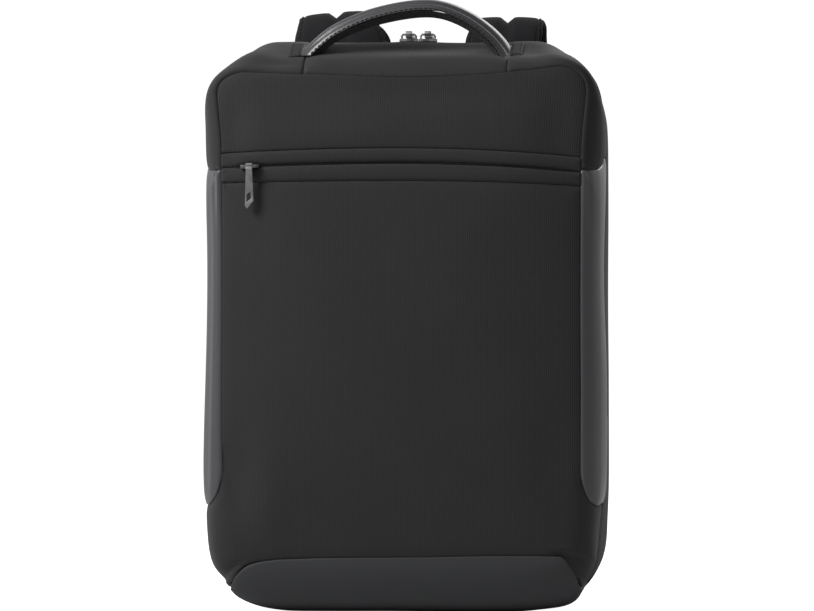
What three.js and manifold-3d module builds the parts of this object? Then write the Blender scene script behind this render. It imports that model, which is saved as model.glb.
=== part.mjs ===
// Laptop backpack, standing closed on its base: padded fabric front and top, coated side panels, a zipped
// front pocket, a padded carry handle and two padded shoulder straps with ladder locks.
// Millimetres, +Z up, front towards -Y. The origin is the middle of the base, on the surface it stands on.
import * as THREE from 'three';
import { mergeVertices } from 'three/addons/utils/BufferGeometryUtils.js';
import Module from 'manifold-3d';

const wasm = await Module();
wasm.setup();

// Body sizes
const bodyWidth = 295; // across the flanks, without the panels that stand proud
const bodyHeight = 421; // surface to ridge
const bodyDepth = 140; // swell of the front face to the back seam
const frontCrown = 9; // the front face swells this far past its seam
const wall = 3; // padded fabric
const seamGap = 0.4; // between two panels at a seam
const shoulder = 14; // the front seam lies this far inside the flanks
const topFall = 26; // the front seam lies this far below the ridge
const seamSag = 5; // the front seam dips this far between the handle's ends
const baseRound = 24; // how far the front's lower edge is turned under
const backPadding = 12; // back panel
const backProud = 2; // the back panel stands this far behind the back seam

// How far each panel's face stands proud of the body's form
const capProud = 1.6;
const sideProud = 0.9;
const baseProud = 0.8;
const weltProud = 0.8;
const tapeRecess = 1;

// Seam lines on the front: the pocket's zip lies below the ridge, and its welts reach above and below the zip
const pocketZipBelow = 89.5;
const weltRise = 10.5;
const weltDepth = 13;
const pocketZipLine = { height: bodyHeight - pocketZipBelow, leftDrop: 4, rightDrop: 7 };
const weltTop = { height: pocketZipLine.height + weltRise, leftDrop: 4, rightDrop: 7 };
const weltFoot = { height: pocketZipLine.height - weltDepth, leftDrop: 2, rightDrop: 4 };
const pocketSlit = 3.6;
const pocketTape = { halfWidth: 13, thickness: 1.2, coil: 1.8 };
const baseSeam = { height: 41, flatHalf: 108, endHalf: 134, endHeight: 15 };
const sidePanel = { foot: 79, footRound: 28, frontBelow: 95, rearBelow: 86, sweep: 38 }; // below the ridge
const capFoot = { front: bodyHeight - sidePanel.frontBelow, rear: bodyHeight - sidePanel.rearBelow };

// Main zip, over the top and down both sides
const mainZip = { front: 0, width: 13, coil: 5, coilRise: 1, foot: 150 };

// Handle
const handle = { shift: 3, halfSpan: 75, drop: 16, rise: 40, depthAt: -31, tilt: 0.3 };
const grip = { width: 30, thickness: 13.5, coverShare: 0.6, endWidth: 24, endThickness: 9 };
const tab = { length: 9, width: 26, thickness: 1.4 };

// Shoulder straps
const strap = { width: 64, endWidth: 46, thickness: 11, groove: 4, reach: 40, rise: 21 };
const strapRoot = { drop: 6, endZ: 182, endBack: 0.6, sweep: 26, endRun: 56 }; // its root is below the ridge
const strapAt = { left: -57, right: 63, leftLift: 5 }; // the left strap stands a little higher
const webbing = { width: 25, thickness: 1.6, tail: 75, tack: 28 };
const lock = { width: 34, bar: 4, slot: 7.5, drop: 12 };
const anchor = { inset: 43.5, foot: 34, length: 46, topWidth: 30, footWidth: 42, thickness: 2.4 };

// Zip sliders and pullers
const slider = { length: 13.5, width: 9, height: 2.6 };
const crown = { span: 12, clear: 2.35, bar: 1.6, depth: 2.4 };
const puller = { length: 31, topHalf: 2.3, footHalf: 3, thickness: 2 };
const barrel = { eye: 1.75, radius: 2.75, width: 4.6, overlap: 0.4 };
const pocketSliderInset = 22.5; // from the left seam
const mainSlidersAt = 8; // where the two sliders meet
const clear = 0.3;

const frontY = -bodyDepth / 2;
const seamY = frontY + frontCrown;
const backY = bodyDepth / 2;
const hollowEnd = backY + backProud + wall; // the hollow runs out past the back, so that it is open there
const halfWidth = bodyWidth / 2;
const pocketSliderAt = shoulder + pocketSliderInset - halfWidth;

const fabric = new THREE.MeshStandardMaterial({ color: 0x343434, roughness: 0.9, metalness: 0 });
const coated = new THREE.MeshStandardMaterial({ color: 0x45444a, roughness: 0.45, metalness: 0 });
const baseCloth = new THREE.MeshStandardMaterial({ color: 0x333536, roughness: 0.75, metalness: 0 });
const backMesh = new THREE.MeshStandardMaterial({ color: 0x1f1f21, roughness: 0.95, metalness: 0 });
const tapeCloth = new THREE.MeshStandardMaterial({ color: 0x18181a, roughness: 0.85, metalness: 0 });
const metal = new THREE.MeshStandardMaterial({ color: 0x8c8c92, roughness: 0.35, metalness: 1 });
const plastic = new THREE.MeshStandardMaterial({ color: 0x141416, roughness: 0.5, metalness: 0 });

// The body's form: sections from the front seam to the back. at is a share of the depth behind the seam, and
// side, top and base are shares of shoulder, topFall and baseRound. round goes from the seam's corners to the
// ridge's.
const bodySections = [
  { at: 0.0, side: 1.0, top: 1.0, base: 1.0, round: 0.0 },
  { at: 0.02, side: 0.7, top: 0.86, base: 0.6, round: 0.15 },
  { at: 0.07, side: 0.36, top: 0.68, base: 0.28, round: 0.4 },
  { at: 0.14, side: 0.12, top: 0.5, base: 0.06, round: 0.65 },
  { at: 0.25, side: 0.0, top: 0.27, base: 0.0, round: 0.85 },
  { at: 0.45, side: 0.0, top: 0.02, base: 0.0, round: 1.0 },
  { at: 0.58, side: 0.0, top: 0.0, base: 0.0, round: 1.0 },
  { at: 0.9, side: 0.06, top: 0.1, base: 0.0, round: 1.0 },
  { at: 1.0, side: 0.4, top: 0.32, base: 0.2, round: 0.95 },
];
const faceRings = [0.12, 0.4, 0.66, 0.84, 0.95]; // shares of the seam's outline, from the middle out
const seamCorner = { topX: 24, topZ: 26, baseX: 58, baseZ: 46 };
const ridgeCorner = { topX: 52, topZ: 62, baseX: 80, baseZ: 60 };
const cornerPower = { top: 2, base: 2.5 };
const cornerSteps = 5;
const edgeSteps = { top: 6, side: 4, base: 6 };

const mix = (a, b, share) => a + (b - a) * share;

// One closed loop in the front view, from the middle of the base round by the right flank
function sectionLoop({ half, top, bottom, corner, sag }) {
  const loop = [];
  const sagged = (x) => top - sag * Math.max(0, 1 - (x / (half - corner.topX)) ** 2);
  const edge = (from, to, steps) => {
    for (let i = 0; i < steps; i += 1) {
      const share = i / steps;
      loop.push([mix(from[0], to[0], share), mix(from[1], to[1], share)]);
    }
  };
  const turn = (cx, cz, rx, rz, power, start) => {
    for (let i = 0; i < cornerSteps; i += 1) {
      const angle = start + ((i / cornerSteps) * Math.PI) / 2;
      const c = Math.cos(angle);
      const s = Math.sin(angle);
      loop.push([
        cx + rx * Math.sign(c) * Math.abs(c) ** (2 / power),
        cz + rz * Math.sign(s) * Math.abs(s) ** (2 / power),
      ]);
    }
  };
  const { topX, topZ, baseX, baseZ } = corner;
  edge([-half + baseX, bottom], [half - baseX, bottom], edgeSteps.base);
  turn(half - baseX, bottom + baseZ, baseX, baseZ, cornerPower.base, -Math.PI / 2);
  edge([half, bottom + baseZ], [half, top - topZ], edgeSteps.side);
  turn(half - topX, top - topZ, topX, topZ, cornerPower.top, 0);
  edge([half - topX, top], [-half + topX, top], edgeSteps.top);
  turn(-half + topX, top - topZ, topX, topZ, cornerPower.top, Math.PI / 2);
  edge([-half, top - topZ], [-half, bottom + baseZ], edgeSteps.side);
  turn(-half + baseX, bottom + baseZ, baseX, baseZ, cornerPower.base, Math.PI);
  return loop.map(([x, z]) => (z > top - 0.01 ? [x, sagged(x)] : [x, z]));
}

// The loop of one row of the table, with the form grown outwards by grow
function bodyLoop(row, grow) {
  const corner = {};
  for (const [key, size] of Object.entries(seamCorner)) {
    corner[key] = mix(size, ridgeCorner[key], row.round) + grow;
  }
  return sectionLoop({
    half: halfWidth - shoulder * row.side + grow,
    top: bodyHeight - topFall * row.top + grow,
    bottom: baseProud + baseRound * row.base - grow,
    corner,
    sag: seamSag * (1 - row.round),
  });
}

// Triangles between rings of points, closed by a fan at each end
function loft(rings) {
  const count = rings[0].length;
  const points = rings.flat();
  const middle = (ring) => ring.reduce((sum, p) => sum.add(p), new THREE.Vector3()).divideScalar(count);
  points.push(middle(rings[0]), middle(rings[rings.length - 1]));
  const index = [];
  for (let i = 0; i < rings.length - 1; i += 1) {
    for (let k = 0; k < count; k += 1) {
      const a = i * count + k;
      const b = i * count + ((k + 1) % count);
      index.push(a, a + count, b, b, a + count, b + count);
    }
  }
  const last = (rings.length - 1) * count;
  for (let k = 0; k < count; k += 1) {
    const next = (k + 1) % count;
    index.push(points.length - 2, k, next);
    index.push(points.length - 1, last + next, last + k);
  }
  return new THREE.BufferGeometry().setFromPoints(points).setIndex(index);
}

function solidOf(geometry) {
  const bare = new THREE.BufferGeometry().setAttribute('position', geometry.getAttribute('position'));
  if (geometry.index) bare.setIndex(geometry.index);
  const merged = mergeVertices(bare, 1e-4);
  return new wasm.Manifold(
    new wasm.Mesh({
      numProp: 3,
      vertProperties: new Float32Array(merged.getAttribute('position').array),
      triVerts: new Uint32Array(merged.index.array),
    }),
  );
}

function meshOf(name, solid, material) {
  const { vertProperties, triVerts } = solid.getMesh();
  const geometry = new THREE.BufferGeometry();
  geometry.setAttribute('position', new THREE.BufferAttribute(vertProperties, 3));
  geometry.setIndex(new THREE.BufferAttribute(triVerts, 1));
  geometry.computeVertexNormals();
  return named(name, geometry, material);
}

function named(name, geometry, material) {
  const mesh = new THREE.Mesh(geometry, material);
  mesh.name = name;
  return mesh;
}

// The whole body as one solid, grown outwards by grow, which is negative for its hollow
function bodyForm(grow, backEnd = backY) {
  const rings = [];
  const seam = bodyLoop(bodySections[0], grow);
  const middleZ = bodyHeight / 2;
  for (const share of faceRings) {
    const y = seamY - grow - frontCrown * (1 - share ** 2.5);
    rings.push(seam.map(([x, z]) => new THREE.Vector3(x * share, y, middleZ + (z - middleZ) * share)));
  }
  for (const row of bodySections) {
    const y = mix(seamY, backEnd, row.at) - grow * row.side;
    rings.push(bodyLoop(row, grow).map(([x, z]) => new THREE.Vector3(x, y, z)));
  }
  return solidOf(loft(rings));
}

// Prisms that cut the form into panels: along Y from a front view, along X from a side view
const far = 2 * (bodyWidth + bodyHeight); // past the body on every side

function prismAlongY(outline, from = -far, to = far) {
  const shape = new THREE.Shape(outline.map(([x, z]) => new THREE.Vector2(x, z)));
  const geometry = new THREE.ExtrudeGeometry(shape, { depth: to - from, bevelEnabled: false });
  return solidOf(geometry.rotateX(Math.PI / 2).translate(0, to, 0));
}

function prismAlongX(outline, from = -far, to = far) {
  const shape = new THREE.Shape(outline.map(([y, z]) => new THREE.Vector2(y, z)));
  const geometry = new THREE.ExtrudeGeometry(shape, { depth: to - from, bevelEnabled: false });
  const turned = new THREE.Matrix4().makeBasis(
    new THREE.Vector3(0, 1, 0),
    new THREE.Vector3(0, 0, 1),
    new THREE.Vector3(1, 0, 0),
  );
  return solidOf(geometry.applyMatrix4(turned).translate(from, 0, 0));
}

function box(low, high) {
  const outline = [[low[0], low[2]], [high[0], low[2]], [high[0], high[2]], [low[0], high[2]]];
  return prismAlongY(outline, low[1], high[1]);
}

// A seam line across the front, lower at its ends than in the middle
function lineHeight(line, x) {
  const share = Math.min(1, Math.abs(x) / (halfWidth - shoulder));
  return line.height - (x < 0 ? line.leftDrop : line.rightDrop) * share ** 2;
}

const lineSteps = 10;

function band(lowLine, highLine, lowShift, highShift) {
  const reach = halfWidth;
  const xs = Array.from({ length: lineSteps + 1 }, (_, i) => mix(-reach, reach, i / lineSteps));
  const low = xs.map((x) => [x, lowLine ? lineHeight(lowLine, x) + lowShift : -far]);
  const high = xs.map((x) => [x, highLine ? lineHeight(highLine, x) + highShift : far]);
  return prismAlongY([...low, ...high.reverse()]);
}

// The base panel's region: level across the front, turned down to the corners
function baseRegion(grow) {
  const { height, flatHalf, endHalf, endHeight } = baseSeam;
  const right = [];
  for (let i = 0; i <= cornerSteps; i += 1) {
    const angle = ((i / cornerSteps) * Math.PI) / 2;
    right.push([
      mix(flatHalf, endHalf, Math.sin(angle)) + grow,
      mix(endHeight, height, Math.cos(angle)) + grow,
    ]);
  }
  right.push([far, endHeight + grow], [far, -far]);
  const left = right.map(([x, z]) => [-x, z]).reverse();
  return prismAlongY([...right.reverse(), ...left.reverse()]);
}

// One coated side panel's region from the front: outside the front seam, its lower corner rounded
function sideRegion(side, grow) {
  const seamX = halfWidth - shoulder - grow;
  const foot = sidePanel.foot - grow;
  const outline = [[seamX, far]];
  for (let i = 0; i <= cornerSteps; i += 1) {
    const angle = ((i / cornerSteps) * Math.PI) / 2;
    outline.push([
      seamX + shoulder * (1 - Math.cos(angle)),
      foot + sidePanel.footRound * (1 - Math.sin(angle)),
    ]);
  }
  outline.push([far, foot], [far, far]);
  const turned = outline.map(([x, z]) => [side * x, z]);
  return prismAlongY(side > 0 ? turned : turned.reverse());
}

// From the side: above the line where the cap meets the side panel
function aboveCapLine(shift) {
  const { sweep } = sidePanel;
  const outline = [[-far, far], [-far, capFoot.front + shift]];
  for (let i = 0; i <= cornerSteps; i += 1) {
    const angle = ((i / cornerSteps) * Math.PI) / 2;
    const height = mix(capFoot.rear, capFoot.front, Math.cos(angle));
    outline.push([seamY + sweep * Math.sin(angle), height + shift]);
  }
  outline.push([far, capFoot.rear + shift], [far, far]);
  return prismAlongX(outline);
}

// From the side: what lies in front of the main zip, and below its foot in front of the seam that carries on
function inFrontOfZip(shift, sign) {
  const { front, width, foot } = mainZip;
  const edge = sign > 0 ? front : front + width;
  const middle = front + width / 2;
  const end = sign > 0 ? -far : far;
  const outline = [
    [end, -far],
    [middle + shift, -far],
    [middle + shift, foot],
    [edge + shift, foot],
    [edge + shift, far],
    [end, far],
  ];
  return prismAlongX(sign > 0 ? outline : outline.reverse());
}

function bodyPanels() {
  const half = seamGap / 2;
  const hollow = bodyForm(-wall, hollowEnd);
  const skin = (proud) => bodyForm(proud).subtract(hollow);
  const plain = skin(0);
  const fore = inFrontOfZip(-half, 1);
  const aft = inFrontOfZip(half, -1);
  const face = prismAlongY(bodyLoop(bodySections[0], -half), -far, seamY + shoulder);
  const faceCut = prismAlongY(bodyLoop(bodySections[0], half), -far, seamY + shoulder);
  const cap = skin(capProud).intersect(fore).intersect(aboveCapLine(half)).subtract(faceCut);
  const topEdges = [handle.shift - handle.halfSpan, handle.shift + handle.halfSpan];
  const meshes = [
    meshOf('base_panel', skin(baseProud).intersect(baseRegion(-half)), baseCloth),
    meshOf('front_top_panel', plain.intersect(face).intersect(band(weltTop, null, half, 0)), fabric),
    meshOf(
      'pocket_welt_upper',
      skin(weltProud).intersect(face).intersect(band(pocketZipLine, weltTop, pocketSlit / 2, -half)),
      fabric,
    ),
    meshOf(
      'pocket_welt_lower',
      skin(weltProud).intersect(face).intersect(band(weltFoot, pocketZipLine, half, -pocketSlit / 2)),
      fabric,
    ),
    meshOf(
      'front_panel',
      plain
        .intersect(fore)
        .intersect(band(null, weltFoot, 0, -half))
        .subtract(baseRegion(half))
        .subtract(sideRegion(1, half))
        .subtract(sideRegion(-1, half)),
      fabric,
    ),
    meshOf(
      'top_panel',
      plain
        .intersect(fore)
        .subtract(faceCut)
        .intersect(box([topEdges[0] + half, -far, capFoot.rear], [topEdges[1] - half, far, far])),
      fabric,
    ),
    meshOf('top_cap_left', cap.intersect(box([-far, -far, 0], [topEdges[0] - half, far, far])), fabric),
    meshOf('top_cap_right', cap.intersect(box([topEdges[1] + half, -far, 0], [far, far, far])), fabric),
    meshOf('rear_gusset', plain.intersect(aft).subtract(baseRegion(half)), fabric),
  ];
  const sideSkin = skin(sideProud).intersect(fore).subtract(aboveCapLine(-half)).subtract(faceCut);
  for (const [name, side] of [['side_panel_left', -1], ['side_panel_right', 1]]) {
    meshes.push(meshOf(name, sideSkin.intersect(sideRegion(side, -half)), coated));
  }
  meshes.push(backPanel(), mainZipMesh(hollow), pocketZip());
  return meshes;
}

// The padded back closes the body, set inside the rear gusset
function backPanel() {
  const form = bodyForm(-wall - clear, hollowEnd);
  const rear = backY + backProud;
  const slab = box([-far, rear - backPadding, -far], [far, rear, far]);
  return meshOf('back_panel', form.intersect(slab), backMesh);
}

// Tape and coil as one band, sunk a little between the panels
function mainZipMesh(hollow) {
  const { front, width, coil, coilRise, foot } = mainZip;
  const half = seamGap / 2;
  const low = foot + half;
  const middle = front + width / 2;
  const tape = bodyForm(-tapeRecess).intersect(
    box([-far, front + half, low], [far, front + width - half, far]),
  );
  const teeth = bodyForm(coilRise - tapeRecess).intersect(
    box([-far, middle - coil / 2, low], [far, middle + coil / 2, far]),
  );
  return meshOf('main_zip', tape.add(teeth).subtract(hollow), tapeCloth);
}

// The pocket's tape lies behind the two welts, its coil in the slit between them
function pocketZip() {
  const { halfWidth: tapeHalf, thickness, coil } = pocketTape;
  const end = slider.length / 2 + clear;
  const reach = halfWidth - shoulder - wall - thickness;
  const tape = bodyForm(-wall - clear)
    .subtract(bodyForm(-wall - clear - thickness))
    .intersect(band(pocketZipLine, pocketZipLine, -tapeHalf, tapeHalf));
  const teeth = bodyForm(-tapeRecess)
    .subtract(bodyForm(-wall - clear - thickness / 2))
    .intersect(band(pocketZipLine, pocketZipLine, -coil / 2, coil / 2))
    .subtract(box([pocketSliderAt - end, -far, 0], [pocketSliderAt + end, far, far]));
  const front = box([-reach, -far, 0], [reach, seamY + wall, far]);
  return meshOf('pocket_zip', tape.add(teeth).intersect(front), tapeCloth);
}

// A slider along X with its crown up +Z, its foot at zero. sunk is how deep a foot reaches below.
function sliderGeometry(width, sunk) {
  const { length, height } = slider;
  const waist = 0.72; // of the width, at the nose
  const plan = [
    [-1, -1], [-0.1, -1], [0.45, -waist], [1, -waist], [1, waist], [0.45, waist], [-0.1, 1], [-1, 1],
  ].map(([x, y]) => new THREE.Vector2((x * length) / 2, (y * width) / 2));
  const shape = new THREE.Shape(plan);
  const body = new THREE.ExtrudeGeometry(shape, { depth: height + sunk, bevelEnabled: false });
  const reach = crown.span / 2;
  const top = crown.clear + crown.bar;
  const sink = crown.bar / 2; // the arch's feet reach this far into the body
  const arch = [
    [-reach, -sink], [-reach, top - crown.bar], [-reach + crown.bar, top],
    [reach - crown.bar, top], [reach, top - crown.bar], [reach, -sink],
    [reach - crown.bar, -sink], [reach - crown.bar, crown.clear], [-reach + crown.bar, crown.clear],
    [-reach + crown.bar, -sink],
  ].map(([x, z]) => [x, z + height]);
  const crownSolid = prismAlongY(arch.reverse(), -crown.depth / 2, crown.depth / 2);
  return solidOf(body.translate(0, 0, -sunk)).add(crownSolid);
}

// Height of the crown's bar above a slider's foot: the puller turns about it
const barHeight = slider.height + crown.clear + crown.bar / 2;

// A puller that hangs down -Z from its barrel, which turns about X
function pullerSolid() {
  const { length, topHalf, footHalf, thickness } = puller;
  const plateTop = -barrel.eye - barrel.overlap;
  const plate = [
    [-topHalf, plateTop], [-footHalf, -length * 0.93], [-footHalf * 0.5, -length],
    [footHalf * 1.1, -length * 0.82], [topHalf, plateTop],
  ];
  const hole = [
    [-footHalf * 0.6, -length * 0.66], [-footHalf * 0.6, -length * 0.85], [footHalf * 0.52, -length * 0.76],
    [footHalf * 0.42, -length * 0.6],
  ];
  const ring = new THREE.Shape().absarc(0, 0, barrel.radius, 0, Math.PI * 2);
  ring.holes.push(new THREE.Path().absarc(0, 0, barrel.eye, 0, Math.PI * 2, true));
  const options = { depth: barrel.width, bevelEnabled: false, curveSegments: 6 };
  const tube = new THREE.ExtrudeGeometry(ring, options);
  tube.translate(0, 0, -barrel.width / 2).rotateY(Math.PI / 2);
  return prismAlongY(plate, -thickness / 2, thickness / 2)
    .subtract(prismAlongY(hole, -thickness, thickness))
    .add(solidOf(tube));
}

function faceY(x, z, proud) {
  const seam = bodyLoop(bodySections[0], proud);
  const halfSeam = Math.max(...seam.map((p) => p[0]));
  const middleZ = bodyHeight / 2;
  const topSeam = Math.max(...seam.map((p) => p[1]));
  const share = Math.min(1, Math.max(Math.abs(x) / halfSeam, (z - middleZ) / (topSeam - middleZ)));
  return seamY - proud - frontCrown * (1 - share ** 2.5);
}

function pocketSlider() {
  const group = new THREE.Group();
  const z = lineHeight(pocketZipLine, pocketSliderAt);
  const surface = faceY(pocketSliderAt, z, 0);
  const sunk = wall - clear;
  const body = meshOf('pocket_slider', sliderGeometry(pocketSlit - 2 * clear, sunk), metal);
  body.rotation.x = Math.PI / 2;
  const ahead = lineHeight(pocketZipLine, pocketSliderAt + slider.length) - z;
  const onLine = new THREE.Group();
  onLine.rotation.y = -Math.atan2(ahead, slider.length);
  onLine.add(body);
  const pull = meshOf('pocket_puller', pullerSolid(), metal);
  pull.position.y = -barHeight;
  group.add(onLine, pull);
  group.position.set(pocketSliderAt, surface, z);
  return group;
}

function mainSliders() {
  const group = new THREE.Group();
  for (const [side, word] of [[-1, 'left'], [1, 'right']]) {
    const body = meshOf(`main_slider_${word}`, sliderGeometry(slider.width, 0), metal);
    body.rotation.z = side > 0 ? Math.PI : 0;
    const pull = meshOf(`main_puller_${word}`, pullerSolid(), metal);
    pull.position.z = barHeight;
    const lean = Math.asin((barHeight - clear - puller.thickness / 2) / puller.length);
    pull.rotation.x = Math.PI / 2 - lean;
    const pair = new THREE.Group();
    pair.add(body, pull);
    pair.position.x = side * (slider.length / 2 + clear);
    group.add(pair);
  }
  const lift = mainZip.coilRise - tapeRecess + clear;
  group.position.set(mainSlidersAt, mainZip.front + mainZip.width / 2, bodyHeight + lift);
  return group;
}

// The handle's line from end to end: along is a share of the half span, up a share of the rise
const handleLine = [
  { along: -1.05, up: -0.02 },
  { along: -0.97, up: 0.17 },
  { along: -0.84, up: 0.39 },
  { along: -0.68, up: 0.59 },
  { along: -0.33, up: 0.85 },
  { along: 0.11, up: 1.0 },
  { along: 0.35, up: 0.97 },
  { along: 0.61, up: 0.77 },
  { along: 0.84, up: 0.44 },
  { along: 0.95, up: 0.16 },
  { along: 0.98, up: -0.08 },
];
const gripSteps = 5; // facets on each half of the grip's section

function handleMeshes() {
  const { shift, halfSpan, drop, rise, depthAt, tilt } = handle;
  const foot = bodyHeight - drop;
  const line = new THREE.CatmullRomCurve3(
    handleLine.map(({ along, up }) => new THREE.Vector3(
      shift + along * halfSpan,
      depthAt,
      foot + up * rise,
    )),
  );
  const stations = 18;
  const seat = bodyForm(capProud + clear);
  const halves = [
    { name: 'handle_cover', start: 0, gap: clear, material: coated },
    { name: 'handle_underside', start: Math.PI, gap: -clear, material: backMesh },
  ];
  return halves.map(({ name, start, gap, material }) => {
    const rings = [];
    for (let i = 0; i <= stations; i += 1) {
      const share = i / stations;
      const at = line.getPointAt(share);
      const tangent = line.getTangentAt(share);
      const up = new THREE.Vector3(-tangent.z, 0, tangent.x);
      const swell = Math.sin(Math.PI * share) ** 0.5;
      const lean = tilt * (1 - swell);
      const across = new THREE.Vector3(0, Math.cos(lean), Math.sin(lean));
      const halfAcross = mix(grip.endWidth, grip.width, swell) / 2;
      const halfThick = mix(grip.endThickness, grip.thickness, swell) / 2;
      const level = halfThick * (1 - 2 * grip.coverShare);
      const height = start === 0 ? halfThick - level : halfThick + level;
      const ring = [];
      for (let k = 0; k <= gripSteps; k += 1) {
        const angle = start + (k / gripSteps) * Math.PI;
        ring.push(at.clone()
          .addScaledVector(up, level + gap + height * Math.sin(angle))
          .addScaledVector(across, -halfAcross * Math.cos(angle)));
      }
      rings.push(ring);
    }
    return meshOf(name, solidOf(loft(rings)).subtract(seat), material);
  });
}

// A coated tab holds each end of the handle to the seam between the top and the cap
function handleTabs(halves) {
  const span = new THREE.Box3();
  for (const half of halves) span.expandByObject(half);
  const outer = bodyForm(capProud + clear + tab.thickness);
  const inner = bodyForm(capProud + clear);
  const shell = outer.subtract(inner);
  const y = [handle.depthAt - tab.width / 2, handle.depthAt + tab.width / 2];
  return [['handle_tab_left', -1], ['handle_tab_right', 1]].map(([name, side]) => {
    const x = (side < 0 ? span.min.x : span.max.x) + side * (clear + tab.length / 2);
    const piece = shell.intersect(
      box([x - tab.length / 2, y[0], capFoot.rear], [x + tab.length / 2, y[1], far]),
    );
    return meshOf(name, piece, coated);
  });
}

// The padded strap's line seen from the side: back and up are shares of strap.reach and strap.rise over its
// root, down is a share of the drop from the root to the strap's end, out a share of its sideways sweep
const strapLine = [
  { back: 0.0, up: 0, down: 0.16, out: 0 },
  { back: 0.0, up: 0, down: 0.06, out: 0 },
  { back: 0.0, up: 0.08, down: 0, out: 0 },
  { back: 0.04, up: 0.55, down: 0, out: 0.01 },
  { back: 0.24, up: 0.9, down: 0, out: 0.02 },
  { back: 0.5, up: 1.0, down: 0, out: 0.03 },
  { back: 0.78, up: 0.83, down: 0, out: 0.05 },
  { back: 0.97, up: 0.4, down: 0, out: 0.07 },
  { back: 1.06, up: 0, down: 0.04, out: 0.1 },
  { back: 1.1, up: 0, down: 0.2, out: 0.22 },
  { back: 1.05, up: 0, down: 0.42, out: 0.4 },
  { back: 0.92, up: 0, down: 0.55, out: 0.5 },
  { back: 0.72, up: 0, down: 0.68, out: 0.6 },
];
const straps = [
  { word: 'left', side: -1, x: strapAt.left, lift: strapAt.leftLift },
  { word: 'right', side: 1, x: strapAt.right, lift: 0 },
];
// Half of the strap's section, as shares of its half width and half thickness, with half of its middle groove
const strapSection = [
  [0, -1], [0.6, -1], [0.92, -0.7], [1, 0], [0.92, 0.7], [0.6, 1], [0.14, 0.95],
];

const strapY = backY + backProud + clear + strap.thickness / 2;
const strapTop = bodyHeight - strapRoot.drop;

// The strap's end, and the lean of all that hangs from it towards its anchor at the base
function strapEnd({ side, x }) {
  const at = new THREE.Vector3(
    x + side * strapRoot.sweep,
    strapY + strapRoot.endBack * strap.reach,
    strapRoot.endZ,
  );
  const foot = anchor.foot + anchor.length;
  const lean = Math.atan2(side * (halfWidth - anchor.inset) - at.x, at.z - foot);
  return { at, lean };
}

// The padded strap leaves the back panel, bows over and runs straight for its last stretch
function strapPath(row) {
  const { at, lean } = strapEnd(row);
  const points = strapLine.map(({ back, up, down, out }) => new THREE.Vector3(
    row.x + row.side * out * strapRoot.sweep,
    strapY + back * strap.reach,
    strapTop + up * (strap.rise + row.lift) - down * (strapTop - strapRoot.endZ),
  ));
  const run = new THREE.Vector3(-Math.sin(lean), 0, Math.cos(lean));
  for (const share of [1, 0.75, 0.5, 0.25, 0]) {
    points.push(at.clone().addScaledVector(run, share * strapRoot.endRun));
  }
  return new THREE.CatmullRomCurve3(points);
}

function strapFrame(path, share) {
  const at = path.getPointAt(share);
  const tangent = path.getTangentAt(share);
  const normal = new THREE.Vector3(0, -tangent.z, tangent.y).normalize();
  return { at, normal };
}

function strapMesh(row) {
  const path = strapPath(row);
  const stations = 22;
  const rings = [];
  const groove = 1 - (2 * strap.groove) / strap.thickness;
  const rightHalf = [...strapSection];
  const leftHalf = strapSection.slice(1).reverse().map(([u, v]) => [-u, v]);
  const profile = [...rightHalf, [0, groove], ...leftHalf].reverse();
  for (let i = 0; i <= stations; i += 1) {
    const share = i / stations;
    const { at, normal } = strapFrame(path, share);
    const half = mix(strap.width, strap.endWidth, share ** 2) / 2;
    rings.push(profile.map(([u, v]) => at.clone()
      .add(new THREE.Vector3(u * half, 0, 0))
      .addScaledVector(normal, (-v * strap.thickness) / 2)));
  }
  return named(`shoulder_strap_${row.word}`, loft(rings), fabric);
}

// A strip that follows a line of [along, off] points in its own plane, as an outline for extruding
function stripOutline(line, thickness) {
  const sides = [[], []];
  line.forEach((point, i) => {
    const before = line[Math.max(0, i - 1)];
    const after = line[Math.min(line.length - 1, i + 1)];
    const a = new THREE.Vector2(point[0] - before[0], point[1] - before[1]);
    const b = new THREE.Vector2(after[0] - point[0], after[1] - point[1]);
    if (a.length() > 0) a.normalize();
    if (b.length() > 0) b.normalize();
    const way = a.clone().add(b).normalize();
    const bend = i > 0 && i < line.length - 1 ? Math.max(0.5, Math.sqrt((1 + a.dot(b)) / 2)) : 1;
    const off = thickness / 2 / bend;
    sides[0].push([point[0] - way.y * off, point[1] + way.x * off]);
    sides[1].push([point[0] + way.y * off, point[1] - way.x * off]);
  });
  return [...sides[0], ...sides[1].reverse()];
}

// A strip of webbing whose line is given as [down, out] from the strap's end
function strip(name, line, material) {
  const outline = stripOutline(line, webbing.thickness).map(([down, out]) => [out, -down]);
  return meshOf(name, prismAlongX(outline, -webbing.width / 2, webbing.width / 2), material);
}

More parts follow.
